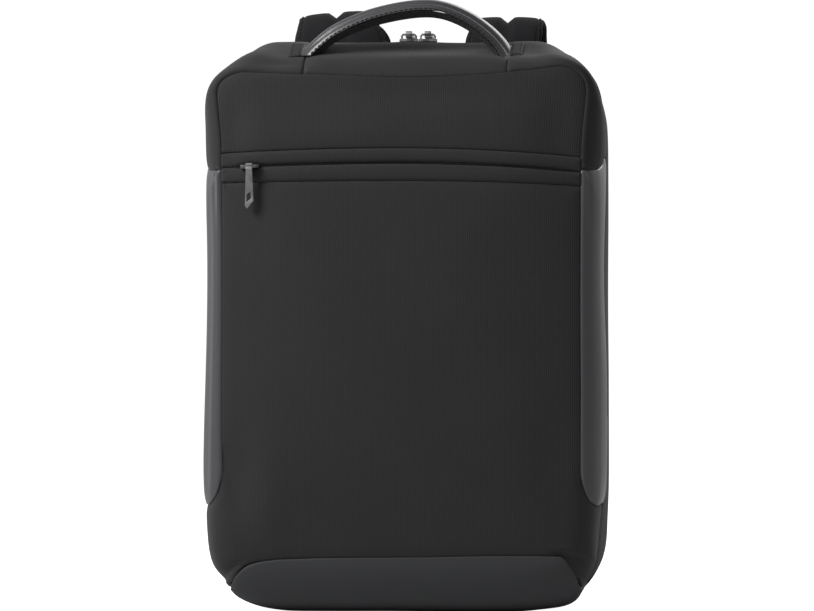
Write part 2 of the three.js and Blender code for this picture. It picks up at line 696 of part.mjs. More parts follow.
// What hangs from a strap: the loop sewn round its end, the ladder lock, the webbing and the tab at the base.
// It is laid out in a frame at the strap's end that leans towards the anchor: +Z up the strap, +Y away from
// the bag.
function strapHardware(row) {
  const { at, lean } = strapEnd(row);
  const half = webbing.thickness / 2;
  const round = lock.bar / Math.SQRT2 + clear + half; // clears the corners of a square bar
  const beside = strap.thickness / 2 + clear + half;
  const topBar = lock.drop;
  const midBar = topBar + lock.bar + lock.slot;
  const lowBar = midBar + lock.bar + lock.slot;
  const reachDown = (at.z - anchor.foot) / Math.cos(lean);
  const tabFace = at.y - (backY + backProud + clear + anchor.thickness + clear + half);
  const inner = round + webbing.thickness + clear;
  const loopBend = [-1, -0.5, 0, 0.5, 1].map((turn) => [
    topBar + round * Math.cos((turn * Math.PI) / 2),
    round * Math.sin((turn * Math.PI) / 2),
  ]);
  const past = webbing.thickness;
  const loop = [
    [-webbing.tack, -beside], [past, -beside], ...loopBend, [past, beside], [-webbing.tack, beside],
  ];
  const cross = lock.slot / 2 + lock.bar / 2;
  const run = [
    [midBar + cross + webbing.tail, -round],
    [midBar + cross + lock.bar / 2, -round],
    [midBar + cross - half, -half],
    [midBar + lock.bar / 2, round],
    [midBar - lock.bar / 2, round],
    [midBar - cross + half, half],
    [midBar - lock.bar / 2, -inner],
    [lowBar + lock.bar, -inner],
    [reachDown - anchor.length, -tabFace],
    [reachDown - clear, -tabFace],
  ];
  const bar = lock.bar / 2;
  const frame = prismAlongY(rectangle(lock.width / 2, -lowBar - bar, -topBar + bar), -bar, bar);
  const holeHalf = webbing.width / 2 + clear;
  const upperHole = prismAlongY(rectangle(holeHalf, -midBar + bar, -topBar - bar));
  const lowerHole = prismAlongY(rectangle(holeHalf, -lowBar + bar, -midBar - bar));
  const tabBack = at.y - (backY + backProud + clear);
  const { length, topWidth, footWidth, thickness } = anchor;
  const tabOutline = [
    [-footWidth / 2, -reachDown], [footWidth / 2, -reachDown],
    [topWidth / 2, length - reachDown], [-topWidth / 2, length - reachDown],
  ];
  const group = new THREE.Group();
  group.add(
    strip(`lock_loop_${row.word}`, loop, tapeCloth),
    meshOf(`ladder_lock_${row.word}`, frame.subtract(upperHole).subtract(lowerHole), plastic),
    strip(`strap_webbing_${row.word}`, run, tapeCloth),
    meshOf(`anchor_tab_${row.word}`, prismAlongY(tabOutline, -tabBack, thickness - tabBack), fabric),
  );
  group.position.copy(at);
  group.rotation.y = -lean;
  return group;
}

function rectangle(half, low, high) {
  return [[-half, low], [half, low], [half, high], [-half, high]];
}

const root = new THREE.Group();
const halves = handleMeshes();
root.add(...bodyPanels(), pocketSlider(), mainSliders(), ...halves, ...handleTabs(halves));
for (const row of straps) root.add(strapMesh(row), strapHardware(row));

export default root;
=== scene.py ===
# Laptop backpack: the looks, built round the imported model. Sizes are millimetres until a mesh is made.
import math

import bmesh
import bpy
import numpy as np
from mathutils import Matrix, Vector, geometry


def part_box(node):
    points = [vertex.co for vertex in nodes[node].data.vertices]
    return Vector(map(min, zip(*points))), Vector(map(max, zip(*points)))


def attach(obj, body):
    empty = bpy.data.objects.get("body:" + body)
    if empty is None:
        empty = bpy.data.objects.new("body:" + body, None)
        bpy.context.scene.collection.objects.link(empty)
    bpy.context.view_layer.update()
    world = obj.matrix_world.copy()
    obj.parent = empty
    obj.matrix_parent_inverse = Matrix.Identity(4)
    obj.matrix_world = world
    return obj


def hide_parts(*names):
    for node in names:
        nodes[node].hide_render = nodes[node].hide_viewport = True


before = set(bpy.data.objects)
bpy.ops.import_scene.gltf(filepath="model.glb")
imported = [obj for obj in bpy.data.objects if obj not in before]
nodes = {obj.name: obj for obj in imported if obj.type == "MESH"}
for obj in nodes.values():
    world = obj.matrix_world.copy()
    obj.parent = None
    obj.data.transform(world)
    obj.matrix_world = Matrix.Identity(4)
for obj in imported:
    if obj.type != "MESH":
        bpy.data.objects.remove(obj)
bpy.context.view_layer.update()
mm = 0.001


def nodeBox(name):
    low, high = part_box(name)
    return np.array(low) / mm, np.array(high) / mm


# The bag's form: driving sizes come from the frame
frontLow, frontHigh = nodeBox("front_panel")
rearHigh = nodeBox("rear_gusset")[1]
bag = {
    "half": frontHigh[0],
    "frontY": frontLow[1],
    "backY": rearHigh[1],
    "ridge": rearHigh[2],
    "frontCrown": 9,  # swell of the front face past its seam
    "shoulder": 14,  # the front seam lies this far inside the flanks
    "topFall": 21,
    "seamSag": 4,
    "baseRound": 24,
    "floorGap": 0.8,
    "zipFront": 0,
    "zipWidth": 13,
    "zipFoot": 150,
    "crownPower": 10,  # how square the face's swell is, and how it falls to the seam
    "crownFall": 2.5,
    "swellFade": 8,  # the face's swell fades over this depth behind the seam
    "swellEnd": 60,
}
seamY = bag["frontY"] + bag["frontCrown"]
seamHalf = bag["half"] - bag["shoulder"]

# From the front seam to the back. at is a share of the depth, the next three are shares of shoulder, topFall
# and baseRound, and round goes from the seam's corners to the ridge's
sectionTable = np.array([
    (0.0, 1.0, 1.0, 1.0, 0.0),
    (0.02, 0.7, 0.86, 0.6, 0.15),
    (0.07, 0.36, 0.68, 0.28, 0.4),
    (0.14, 0.12, 0.5, 0.06, 0.65),
    (0.25, 0.0, 0.27, 0.0, 0.85),
    (0.45, 0.0, 0.02, 0.0, 1.0),
    (0.58, 0.0, 0.0, 0.0, 1.0),
    (0.9, 0.06, 0.1, 0.0, 1.0),
    (1.0, 0.4, 0.32, 0.2, 0.95),
])
seamCorner = {"topX": 20, "topZ": 17, "baseX": 58, "baseZ": 46}
ridgeCorner = {"topX": 52, "topZ": 62, "baseX": 80, "baseZ": 60}
basePower = 2.5  # the lower corners are squarer than an ellipse


def mix(a, b, share):
    return a + (b - a) * share


def unit(vectors):
    return vectors / np.maximum(np.linalg.norm(vectors, axis=-1, keepdims=True), 1e-12)


# Smooth curve through a table's column that doesn't overshoot
def smoothColumn(xs, ys, query):
    width = np.diff(xs)
    slope = np.diff(ys) / width
    tangent = np.zeros(len(xs))
    for i in range(1, len(xs) - 1):
        if slope[i - 1] * slope[i] > 0:
            tangent[i] = 2 / (1 / slope[i - 1] + 1 / slope[i])
    tangent[0], tangent[-1] = slope[0], slope[-1]
    k = np.clip(np.searchsorted(xs, query, side="right") - 1, 0, len(xs) - 2)
    t = (query - xs[k]) / width[k]
    a = (1 + 2 * t) * (1 - t) ** 2 * ys[k] + t * (1 - t) ** 2 * width[k] * tangent[k]
    b = t * t * (3 - 2 * t) * ys[k + 1] + t * t * (t - 1) * width[k] * tangent[k + 1]
    return a + b


# Sizes of the bag's sections at shares of its depth
def sectionSizes(at):
    at = np.clip(np.asarray(at, float), 0, 1)
    side, top, base, turn = (smoothColumn(sectionTable[:, 0], sectionTable[:, k], at) for k in (1, 2, 3, 4))
    sizes = {key: mix(size, ridgeCorner[key], turn) for key, size in seamCorner.items()}
    sizes["half"] = bag["half"] - bag["shoulder"] * side
    sizes["top"] = bag["ridge"] - bag["topFall"] * top
    sizes["bottom"] = bag["floorGap"] + bag["baseRound"] * base
    sizes["sag"] = bag["seamSag"] * (1 - turn)
    sizes["y"] = mix(seamY, bag["backY"], at)
    return sizes


# The right half of a section. way goes from 0 at the base's middle, by the flank, to 5 at the top's middle
def rightLoop(at, way):
    s = sectionSizes(at)
    flatBase = s["half"] - s["baseX"]
    flatTop = s["half"] - s["topX"]
    power = 2 / basePower
    lowTurn = np.clip(way - 1, 0, 1) * math.pi / 2
    highTurn = np.clip(way - 3, 0, 1) * math.pi / 2
    x = np.select(
        [way < 1, way < 3, way < 4],
        [
            way * flatBase,
            flatBase + s["baseX"] * np.sin(lowTurn) ** power,
            flatTop + s["topX"] * np.cos(highTurn),
        ],
        flatTop * (5 - way),
    )
    sagged = s["top"] - s["sag"] * (1 - (x / flatTop) ** 2)
    z = np.select(
        [way < 1, way < 2, way < 3, way < 4],
        [
            s["bottom"] + 0 * way,
            s["bottom"] + s["baseZ"] * (1 - np.cos(lowTurn) ** power),
            mix(s["bottom"] + s["baseZ"], s["top"] - s["topZ"], way - 2),
            s["top"] - s["topZ"] * (1 - np.sin(highTurn)),
        ],
        sagged,
    )
    return x, z


# Lengths along the ridge's section and along the flank's depth turn the loop into a flat pattern
ridgeAt = 0.5
wayTable = np.linspace(0, 5, 2001)
ridgeX, ridgeZ = rightLoop(np.full_like(wayTable, ridgeAt), wayTable)
girthTable = np.concatenate([[0], np.cumsum(np.hypot(np.diff(ridgeX), np.diff(ridgeZ)))])
halfGirth = girthTable[-1]
atTable = np.linspace(0, 1, 1001) ** 1.5
flankSizes = sectionSizes(atTable)
depthTable = np.concatenate(
    [[0], np.cumsum(np.hypot(np.diff(flankSizes["half"]), np.diff(flankSizes["y"])))]
)


def depthOfY(y):
    return np.interp((np.asarray(y, float) - seamY) / (bag["backY"] - seamY), atTable, depthTable)


def faceSwell(x, z):
    middle = bag["ridge"] / 2
    high = bag["ridge"] - bag["topFall"] - middle
    power = bag["crownPower"]
    share = ((np.abs(x) / seamHalf) ** power + (np.abs(z - middle) / high) ** power) ** (1 / power)
    return bag["frontCrown"] * (1 - share ** bag["crownFall"])


# A point of the band behind the front seam, from girth round the bag and depth back from the seam
def beltPoint(girth, depth):
    girth = (girth + halfGirth) % (2 * halfGirth) - halfGirth
    way = np.interp(np.abs(girth), girthTable, wayTable)
    at = np.interp(depth, depthTable, atTable)
    x, z = rightLoop(at, way)
    x = x * np.where(girth < 0, -1, 1)
    fade = np.exp(-depth / bag["swellFade"]) * (depth < bag["swellEnd"])
    y = mix(seamY, bag["backY"], at) - faceSwell(x, z) * fade
    return np.stack([x, y, z], -1)


# Girth on the right flank at a height, and on the top at a distance from the middle
def girthAtZ(depth, z):
    found = []
    ways = np.linspace(1, 4, 600)
    for d, height in np.broadcast(depth, z):
        at = np.interp(d, depthTable, atTable)
        heights = rightLoop(np.full_like(ways, at), ways)[1]
        found.append(np.interp(np.interp(height, heights, ways), wayTable, girthTable))
    return np.array(found)


def girthAtX(depth, x):
    found = []
    ways = np.linspace(3, 5, 600)
    for d, across in np.broadcast(depth, x):
        at = np.interp(d, depthTable, atTable)
        places = rightLoop(np.full_like(ways, at), ways)[0]
        girth = np.interp(np.interp(-abs(across), -places, ways), wayTable, girthTable)
        found.append(girth if across >= 0 else 2 * halfGirth - girth)
    return np.array(found)


# Height of the top over a place
def topHeight(x, y):
    s = sectionSizes((y - seamY) / (bag["backY"] - seamY))
    flat = s["half"] - s["topX"]
    out = np.clip((np.abs(x) - flat) / s["topX"], 0, 1)
    sag = s["sag"] * np.maximum(0, 1 - (x / flat) ** 2)
    return s["top"] - s["topZ"] * (1 - np.sqrt(1 - out ** 2)) - sag


# The flank's distance from the middle at a height
def flankReach(at, z):
    s = sectionSizes(at)
    below = np.clip((s["bottom"] + s["baseZ"] - z) / s["baseZ"], 0, 1)
    above = np.clip((z - s["top"] + s["topZ"]) / s["topZ"], 0, 1)
    low = s["baseX"] * (1 - (1 - below ** basePower) ** (1 / basePower))
    high = s["topX"] * (1 - np.sqrt(1 - above ** 2))
    return s["half"] - low - high


def facePoint(x, z):
    return np.stack([x, seamY - faceSwell(x, z), z], -1)


# The front's cloth goes round the lower corners, so its pattern runs on past the seam line at each side
def frontPoint(u, z):
    seam = flankReach(np.zeros_like(z), z)
    past = np.maximum(0, np.abs(u) - seam)
    at = np.interp(past, depthTable, atTable)
    x = np.where(past > 0, flankReach(at, z), np.abs(u)) * np.sign(u)
    y = mix(seamY, bag["backY"], at) - faceSwell(x, z) * np.exp(-past / bag["swellFade"])
    return np.stack([x, y, z], -1)


def frontPattern(depth, z, side):
    return side * (flankReach(np.zeros_like(z), z) + depth)


# The base's pattern: girth across, and depth back from the front seam's lower edge, less than 0 on the face
def basePoint(girth, depth):
    under = beltPoint(girth, np.maximum(depth, 0))
    lip = beltPoint(girth, np.zeros_like(depth))
    z = lip[..., 2] - depth
    face = np.stack([lip[..., 0], seamY - faceSwell(lip[..., 0], z), z], -1)
    return np.where((depth > 0)[..., None], under, face)


# Soft bulges and hollows that all the body's panels share: place, reach each way, and swell outwards
softSpots = [
    ((-90, -36, 410), (17, 20, 14), -2.6),  # puckers at the handle's ends
    ((-96, -54, 403), (30, 7, 7), -2.4),
    ((-112, -38, 408), (16, 14, 16), 1.8),
    ((-60, -52, 404), (16, 8, 8), 1.4),
    ((98, -36, 410), (13, 18, 14), -2.6),
    ((121, -36, 408), (16, 16, 14), 2.0),
    ((100, -56, 402), (12, 6, 8), -1.6),
    ((66, -52, 404), (18, 8, 8), 1.2),
    ((16, -48, 406), (44, 9, 12), 1.4),
    ((16, -30, 414), (50, 9, 10), -1.2),
    ((-120, -66, 96), (14, 30, 34), -2.6),  # the soft fold by the left side panel's foot
    ((-98, -68, 84), (16, 30, 40), 1.4),
    ((-128, -50, 62), (18, 30, 22), 1.6),
    ((112, -66, 120), (22, 30, 34), -1.2),
    ((92, -68, 84), (20, 30, 40), 0.8),
    ((-60, -70, 250), (50, 30, 80), 0.7),
    ((80, -70, 190), (44, 30, 90), -0.7),
    ((-40, -70, 350), (70, 30, 18), 1.8),
    ((20, -70, 384), (90, 30, 13), -2.2),
    ((-124, -66, 352), (12, 30, 24), -2.4),
    ((116, -66, 362), (18, 30, 26), -1.8),
    ((8, 6, 421), (24, 10, 14), 1.6),
]


# 1 at a place, fading to 0 past its reach each way
def nearness(points, place, reach):
    return np.exp(-np.sum(((points - place) / reach) ** 2, -1))


def unevenness(points):
    x, y, z = points[..., 0], points[..., 1], points[..., 2]
    out = 0.3 * np.sin(x / 31 + 1.3 * np.sin(z / 57)) * np.sin(z / 43 + 0.7)
    out = out + 0.2 * np.sin(x / 17 + z / 29 + y / 23)
    for place, reach, swell in softSpots:
        out = out + swell * nearness(points, place, reach)
    return out


# Pulls that make the sewn form less even: place, reach each way, and move
pulls = [
    ((-121, 15, 411), (18, 70, 17), (4.0, 0, -2.4)),  # the ridge's corners slope
    ((121, 15, 411), (17, 70, 17), (-2.5, 0, -2.3)),
    ((-145, 15, 387), (14, 70, 14), (-1.8, 0, 0)),
    ((145, 15, 379), (14, 70, 22), (-2.8, 0, 0)),
    ((-149, -10, 255), (17, 62, 120), (4.4, 0, 0)),  # the flanks are less full than the ridge
    ((-149, -10, 375), (17, 62, 34), (2.2, 0, 0)),
    ((149, -10, 245), (17, 62, 60), (-2.0, 0, 0)),
    ((-135, -61, 384), (30, 26, 32), (-3.4, 0, 0)),  # the face widens to its upper corners
    ((135, -61, 386), (30, 26, 32), (4.0, 0, 0)),
    ((116, -63, 402), (34, 20, 20), (1.0, -1.5, 3.6)),
    ((-146, -15, 46), (18, 60, 26), (3.0, 0, 0)),  # the lower corners
    ((-132, -10, 19), (14, 60, 13), (2.0, 0, 0)),
    ((146, -15, 54), (18, 60, 26), (-4.8, 0, 0)),
    ((122, -10, 7), (18, 70, 10), (4.5, 0, -2.6)),
]


def pulled(points):
    points = np.asarray(points, float)
    moved = points.copy()
    for place, reach, move in pulls:
        moved = moved + nearness(points, place, reach)[..., None] * move
    return moved


print("form ready: girth", round(2 * halfGirth))


# Mesh making
def runLengths(line):
    return np.concatenate([[0], np.cumsum(np.linalg.norm(np.diff(line, axis=0), axis=1))])


def pointsAt(line, lengths, places):
    return np.stack([np.interp(places, lengths, line[:, k]) for k in range(line.shape[1])], -1)


def resample(line, step):
    line = np.asarray(line, float)
    lengths = runLengths(line)
    count = max(1, int(round(lengths[-1] / step)))
    return pointsAt(line, lengths, np.linspace(0, lengths[-1], count + 1))


# One closed outline from edges that follow each other, with their corners kept
def closedOutline(edges, step):
    parts = [resample(edge, step)[:-1] for edge in edges]
    outline = np.concatenate(parts)
    ahead = np.roll(outline, -1, 0)
    outline = outline[np.linalg.norm(ahead - outline, axis=1) > 0.05]
    ahead = np.roll(outline, -1, 0)
    area = np.sum(outline[:, 0] * ahead[:, 1] - outline[:, 1] * ahead[:, 0])
    return outline if area > 0 else outline[::-1]


# Moves an outline inwards. Points that a corner brings too near another edge are moved back from it
def inset(outline, distance):
    ahead = unit(np.roll(outline, -1, 0) - outline)
    inward = np.stack([-ahead[:, 1], ahead[:, 0]], -1)
    behind = np.roll(inward, 1, 0)
    way = unit(inward + behind)
    stretch = 1 / np.maximum(0.45, np.sum(way * inward, -1))
    points = outline + way * (stretch * distance)[:, None]
    for _ in range(3 if distance > 0 else 0):
        far, nearest = nearestOn(outline, points)
        short = np.maximum(0, distance - far)
        points = points + unit(points - nearest) * short[:, None]
    return points


def nearestOn(outline, points):
    ab = np.roll(outline, -1, 0) - outline
    best = np.full(len(points), 1e9)
    nearest = np.zeros_like(points)
    for start, edge in zip(outline, ab):
        rel = points - start
        t = np.clip(rel @ edge / max(edge @ edge, 1e-12), 0, 1)
        off = rel - t[:, None] * edge
        far = np.einsum("ij,ij->i", off, off)
        closer = far < best
        best = np.where(closer, far, best)
        nearest[closer] = (points - off)[closer]
    return np.sqrt(best), nearest


def distanceTo(outline, points):
    return nearestOn(outline, points)[0]


def inside(outline, points):
    odd = np.zeros(len(points), bool)
    for a, b in zip(outline, np.roll(outline, -1, 0)):
        if a[1] == b[1]:
            continue
        crosses = (a[1] > points[:, 1]) != (b[1] > points[:, 1])
        at = a[0] + (points[:, 1] - a[1]) * (b[0] - a[0]) / (b[1] - a[1])
        odd ^= crosses & (points[:, 0] < at)
    return odd


# A flat pattern's mesh: rings of quads along its edge, a lattice of triangles inside them
def patternMesh(outline, rings, cell):
    loops = [inset(outline, d) for d in rings]
    count = len(outline)
    last = loops[-1]
    low, high = last.min(0), last.max(0)
    rows = np.arange(low[1] + cell / 2, high[1], cell * 0.87)
    lattice = []
    for i, row in enumerate(rows):
        xs = np.arange(low[0] + cell / 2 * (i % 2), high[0], cell)
        lattice.append(np.stack([xs, np.full_like(xs, row)], -1))
    lattice = np.concatenate(lattice) if lattice else np.zeros((0, 2))
    lattice = lattice[inside(last, lattice)]
    lattice = lattice[distanceTo(last, lattice) > cell * 0.5]
    flat = [Vector(p) for p in np.concatenate([last, lattice])]
    ringEdges = [(i, (i + 1) % count) for i in range(count)]
    made = geometry.delaunay_2d_cdt(flat, ringEdges, [], 1, 1e-7)
    crossings = [tuple(place) for place, ids in zip(made[0], made[3]) if not ids]
    lattice = np.concatenate([lattice, np.array(crossings).reshape(-1, 2)])
    source, fresh = [], len(flat)
    for ids in made[3]:
        source.append(ids[0] if ids else fresh)
        fresh += 0 if ids else 1
    offset = count * (len(loops) - 1)
    faces = [tuple(offset + source[i] for i in face) for face in made[2]]
    for k in range(len(loops) - 1):
        a, b = k * count, (k + 1) * count
        for i in range(count):
            j = (i + 1) % count
            faces.append((a + i, a + j, b + j, b + i))
    points = np.concatenate(loops + [lattice])
    edge = np.concatenate([np.repeat(rings, count), distanceTo(outline, lattice)])
    return points, faces, edge, count


def faceArrays(faces):
    triangles = []
    for face in faces:
        for k in range(1, len(face) - 1):
            triangles.append((face[0], face[k], face[k + 1]))
    return np.array(triangles)


def vertexNormals(points, triangles):
    a, b, c = (points[triangles[:, k]] for k in range(3))
    normal = np.cross(b - a, c - a)
    total = np.zeros_like(points)
    for k in range(3):
        np.add.at(total, triangles[:, k], normal)
    return unit(total)


# The pairs of points that a mesh's edges join, and how many of them each point has
def edgePairs(triangles, total):
    pairs = np.concatenate([triangles[:, [0, 1]], triangles[:, [1, 2]], triangles[:, [2, 0]]])
    pairs = np.unique(np.sort(pairs, 1), axis=0)
    return pairs, np.maximum(np.bincount(pairs.ravel(), minlength=total), 1)[:, None]


def neighbourMean(points, pairs, count):
    total = np.zeros_like(points)
    np.add.at(total, pairs[:, 0], points[pairs[:, 1]])
    np.add.at(total, pairs[:, 1], points[pairs[:, 0]])
    return total / count


def relax(points, triangles, weight):
    pairs, count = edgePairs(triangles, len(points))
    for _ in range(panel["softRounds"]):
        points = mix(points, neighbourMean(points, pairs, count), weight[:, None])
    return points


# Brings points back that lie far from all their neighbours, where a pattern's tip folds over
def withoutSpikes(points, triangles):
    pairs, count = edgePairs(triangles, len(points))
    for _ in range(panel["spikeRounds"]):
        middle = neighbourMean(points, pairs, count)
        far = np.linalg.norm(points - middle, axis=1) > panel["spike"]
        points = np.where(far[:, None], middle, points)
    return points


# Each point's place on its cloth, in metres, for the weave
def setCut(mesh, cut):
    layer = mesh.attributes.new("cut", "FLOAT_VECTOR", "POINT")
    flat = np.zeros((len(mesh.vertices), 3), np.float32)
    flat[:, :2] = cut
    layer.data.foreach_set("vector", flat.ravel())


# An object from points in millimetres. cut is each point's place on its cloth, for the weave
def makeObject(name, points, faces, material, cut=None):
    mesh = bpy.data.meshes.new(name)
    mesh.from_pydata((np.asarray(points) * mm).tolist(), [], [tuple(int(i) for i in f) for f in faces])
    mesh.validate()
    mesh.polygons.foreach_set("use_smooth", [True] * len(mesh.polygons))
    if cut is not None:
        setCut(mesh, np.asarray(cut)[:, :2] * mm)
    mesh.update()
    obj = bpy.data.objects.new(name, mesh)
    bpy.context.scene.collection.objects.link(obj)
    obj.data.materials.append(material)
    return obj


def dress(obj, replaced=(), body="bag"):
    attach(obj, body)
    if replaced:
        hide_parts(*replaced)
    return obj


# Sewn panels
panel = {
    "cell": 2.6,
    "edgeStep": 2.2,
    "overlap": 0.15,  # neighbours meet at the bottom of the seam
    "rings": (0, 0.3, 0.65, 1.15, 1.85, 2.8),
    "roll": 1.9,  # the cloth's turned edge
    "puff": 0.7,
    "puffReach": 7,
    "dip": 0.5,
    "dipReach": 4.5,
    "thick": 2.4,
    "softRounds": 14,
    "spike": 3.4,  # a point farther than this from its neighbours' middle is brought back
    "spikeRounds": 12,
}


def edgeProfile(edge, roll, puff):
    turned = np.clip(roll - edge, 0, roll)
    rolled = np.sqrt(np.maximum(roll ** 2 - turned ** 2, 0)) - roll
    swell = puff * (1 - np.exp(-edge / panel["puffReach"])) - puff * 0.4
    return rolled + swell - panel["dip"] * np.exp(-((edge / panel["dipReach"]) ** 2))


# Seams that read deeper or shallower than the rest: place, reach each way, and share more
seamDepths = [
    ((-105, -61, 398), (36, 20, 20), 0.9),
    ((10, -61, 395), (55, 20, 12), -0.45),
    ((-122, -61, 30), (16, 30, 14), 0.6),
    ((128, -61, 30), (14, 30, 20), 0.9),
    ((20, -61, 41), (80, 30, 10), -0.35),
]


def seamShare(points):
    share = np.ones(len(points))
    for place, reach, more in seamDepths:
        share = share + more * nearness(points, place, reach)
    return share


# surface turns the flat pattern into the bag's form, shape adds relief, and soften rounds off folds
def sewPanel(
    name, edges, surface, material, proud=0, roll=None, puff=None, shape=None, soften=None, cell=panel["cell"]
):
    roll = panel["roll"] if roll is None else roll
    puff = panel["puff"] if puff is None else puff
    outline = closedOutline(edges, panel["edgeStep"])
    outline = inset(outline, -panel["overlap"])
    rings = np.array(panel["rings"], float)
    flat, faces, edge, count = patternMesh(outline, rings, cell)
    base = pulled(surface(flat[:, 0], flat[:, 1]))
    triangles = faceArrays(faces)
    base = withoutSpikes(base, triangles)
    if soften is not None:
        base = relax(base, triangles, soften(flat, base))
    roll = roll * seamShare(base)
    normals = vertexNormals(base, triangles)
    middle = np.array([0, 0, bag["ridge"] / 2])
    if np.mean(np.sum(normals * (base - middle), -1)) < 0:
        normals = -normals
        faces = [face[::-1] for face in faces]
    rise = proud + edgeProfile(edge, roll, puff) + unevenness(base)
    if shape is not None:
        rise = rise + shape(flat, base, edge)
    outer = base + normals * rise[:, None]
    inner = base + normals * (unevenness(base) - panel["thick"])[:, None]
    total = len(base)
    rim = [(i, total + i, total + (i + 1) % count, (i + 1) % count) for i in range(count)]
    shell = list(faces) + [tuple(total + i for i in face[::-1]) for face in faces] + rim
    cut = np.concatenate([flat, flat])
    obj = makeObject(name, np.concatenate([outer, inner]), shell, material, cut)
    fixNormals(obj)
    return obj


def fixNormals(obj):
    work = bmesh.new()
    work.from_mesh(obj.data)
    bmesh.ops.recalc_face_normals(work, faces=work.faces)
    work.to_mesh(obj.data)
    work.free()


def applyModifiers(obj):
    with bpy.context.temp_override(object=obj, active_object=obj, selected_objects=[obj]):
        for modifier in list(obj.modifiers):
            bpy.ops.object.modifier_apply(modifier=modifier.name)


def readPoints(mesh):
    flat = np.empty(len(mesh.vertices) * 3)
    mesh.vertices.foreach_get("co", flat)
    return flat.reshape(-1, 3) / mm


# Lets a closed soft form swell under pressure as a coarse cloth, and gives the move of each of its points
clothRun = {"voxel": 4.6, "pressure": 4.0, "frames": 20, "quality": 5, "near": 5, "batch": 500, "blur": 0.5}


def swollen(name, points, faces, most):
    work = makeObject(name, points, faces, bpy.data.materials.new("clothWork"))
    remesh = work.modifiers.new("remesh", "REMESH")
    remesh.mode = "VOXEL"
    remesh.voxel_size = clothRun["voxel"] * mm
    applyModifiers(work)
    rest = readPoints(work.data)
    cloth = work.modifiers.new("cloth", "CLOTH")
    cloth.settings.quality = clothRun["quality"]
    cloth.settings.use_pressure = True
    cloth.settings.uniform_pressure_force = clothRun["pressure"]
    cloth.settings.effector_weights.gravity = 0
    scene = bpy.context.scene
    for number in range(1, clothRun["frames"] + 1):
        scene.frame_set(number)
    swelled = readPoints(work.evaluated_get(bpy.context.evaluated_depsgraph_get()).data)
    bpy.data.objects.remove(work)
    scene.frame_set(1)
    move = swelled - rest
    size = np.linalg.norm(move, axis=1, keepdims=True)
    move = move * np.minimum(1, most / np.maximum(size, 1e-9))
    result = np.zeros_like(points)
    for start in range(0, len(points), clothRun["batch"]):
        part = slice(start, start + clothRun["batch"])
        far = np.linalg.norm(points[part, None] - rest[None], axis=2)
        near = np.argpartition(far, clothRun["near"], axis=1)[:, :clothRun["near"]]
        weight = 1 / (np.take_along_axis(far, near, 1) + clothRun["blur"]) ** 2
        result[part] = np.sum(move[near] * weight[..., None], 1) / weight.sum(1, keepdims=True)
    print(name, "swelled", round(float(size.max()), 1), "mm at most, on", len(rest), "points")
    return result


# Seam lines of the front
lines = {
    "zip": {"height": bag["ridge"] - 89.5, "left": 4, "right": 7},
    "weltTop": {"height": bag["ridge"] - 79, "left": 4, "right": 7},
    "weltFoot": {"height": bag["ridge"] - 102.5, "left": 2, "right": 4},
}


def lineZ(name, x):
    line = lines[name]
    drop = np.where(x < 0, line["left"], line["right"])
    return line["height"] - drop * np.clip(np.abs(x) / seamHalf, 0, 1) ** 2


def across(name, lift=0.0, reverse=False, reach=seamHalf):
    x = np.linspace(-reach, reach, 121)
    line = np.stack([x, lineZ(name, x) + lift], -1)
    return line[::-1] if reverse else line


def uprightEdge(x, low, high):
    return np.array([(x, low), (x, high)])


# The upper part of the front seam's loop, from a height on the right over the top to one on the left
def seamOver(lowRight, lowLeft):
    ways = np.linspace(2, 5, 400)
    x, z = rightLoop(np.zeros_like(ways), ways)
    right = np.stack([x, z], -1)
    left = np.stack([-x, z], -1)[::-1]
    right = right[right[:, 1] >= lowRight]
    left = left[left[:, 1] >= lowLeft]
    start = np.array([[seamHalf, lowRight]])
    end = np.array([[-seamHalf, lowLeft]])
    return np.concatenate([start, right, left, end])


# Node groups and materials
def newGroup(name, inputs, outputs):
    group = bpy.data.node_groups.new(name, "ShaderNodeTree")
    for label, kind, value in inputs:
        socket = group.interface.new_socket(name=label, in_out="INPUT", socket_type=kind)
        if value is not None:
            socket.default_value = value
    for label, kind in outputs:
        group.interface.new_socket(name=label, in_out="OUTPUT", socket_type=kind)
    return group, group.nodes.new("NodeGroupInput"), group.nodes.new("NodeGroupOutput")


def addNode(tree, kind, links=(), **settings):
    node = tree.nodes.new(kind)
    for key, value in settings.items():
        setattr(node, key, value)
    for socket, value in links:
        if hasattr(value, "is_output"):
            tree.links.new(value, node.inputs[socket])
        else:
            node.inputs[socket].default_value = value
    return node


def mathNode(tree, operation, *values):
    return addNode(tree, "ShaderNodeMath", enumerate(values), operation=operation).outputs[0]


# Cells to a metre of each kind of unevenness
noiseScales = {
    "wander": 260.0, "fuzz": 900.0, "threadFuzz": 1200.0, "creases": 220.0, "slowTone": 14.0,
    "quickTone": 420.0, "lint": 1500.0, "rubbed": 130.0, "scratches": 2600.0, "moulded": 2500.0,
}


def noiseNode(tree, place, kind, detail):
    links = [("Vector", place), ("Scale", noiseScales[kind]), ("Detail", detail)]
    return addNode(tree, "ShaderNodeTexNoise", links).outputs["Fac"]


def mixColours(tree, share, first, second, blend="MIX"):
    links = [("Factor", share), ("A", first), ("B", second)]
    return addNode(tree, "ShaderNodeMix", links, data_type="RGBA", blend_type=blend).outputs["Result"]


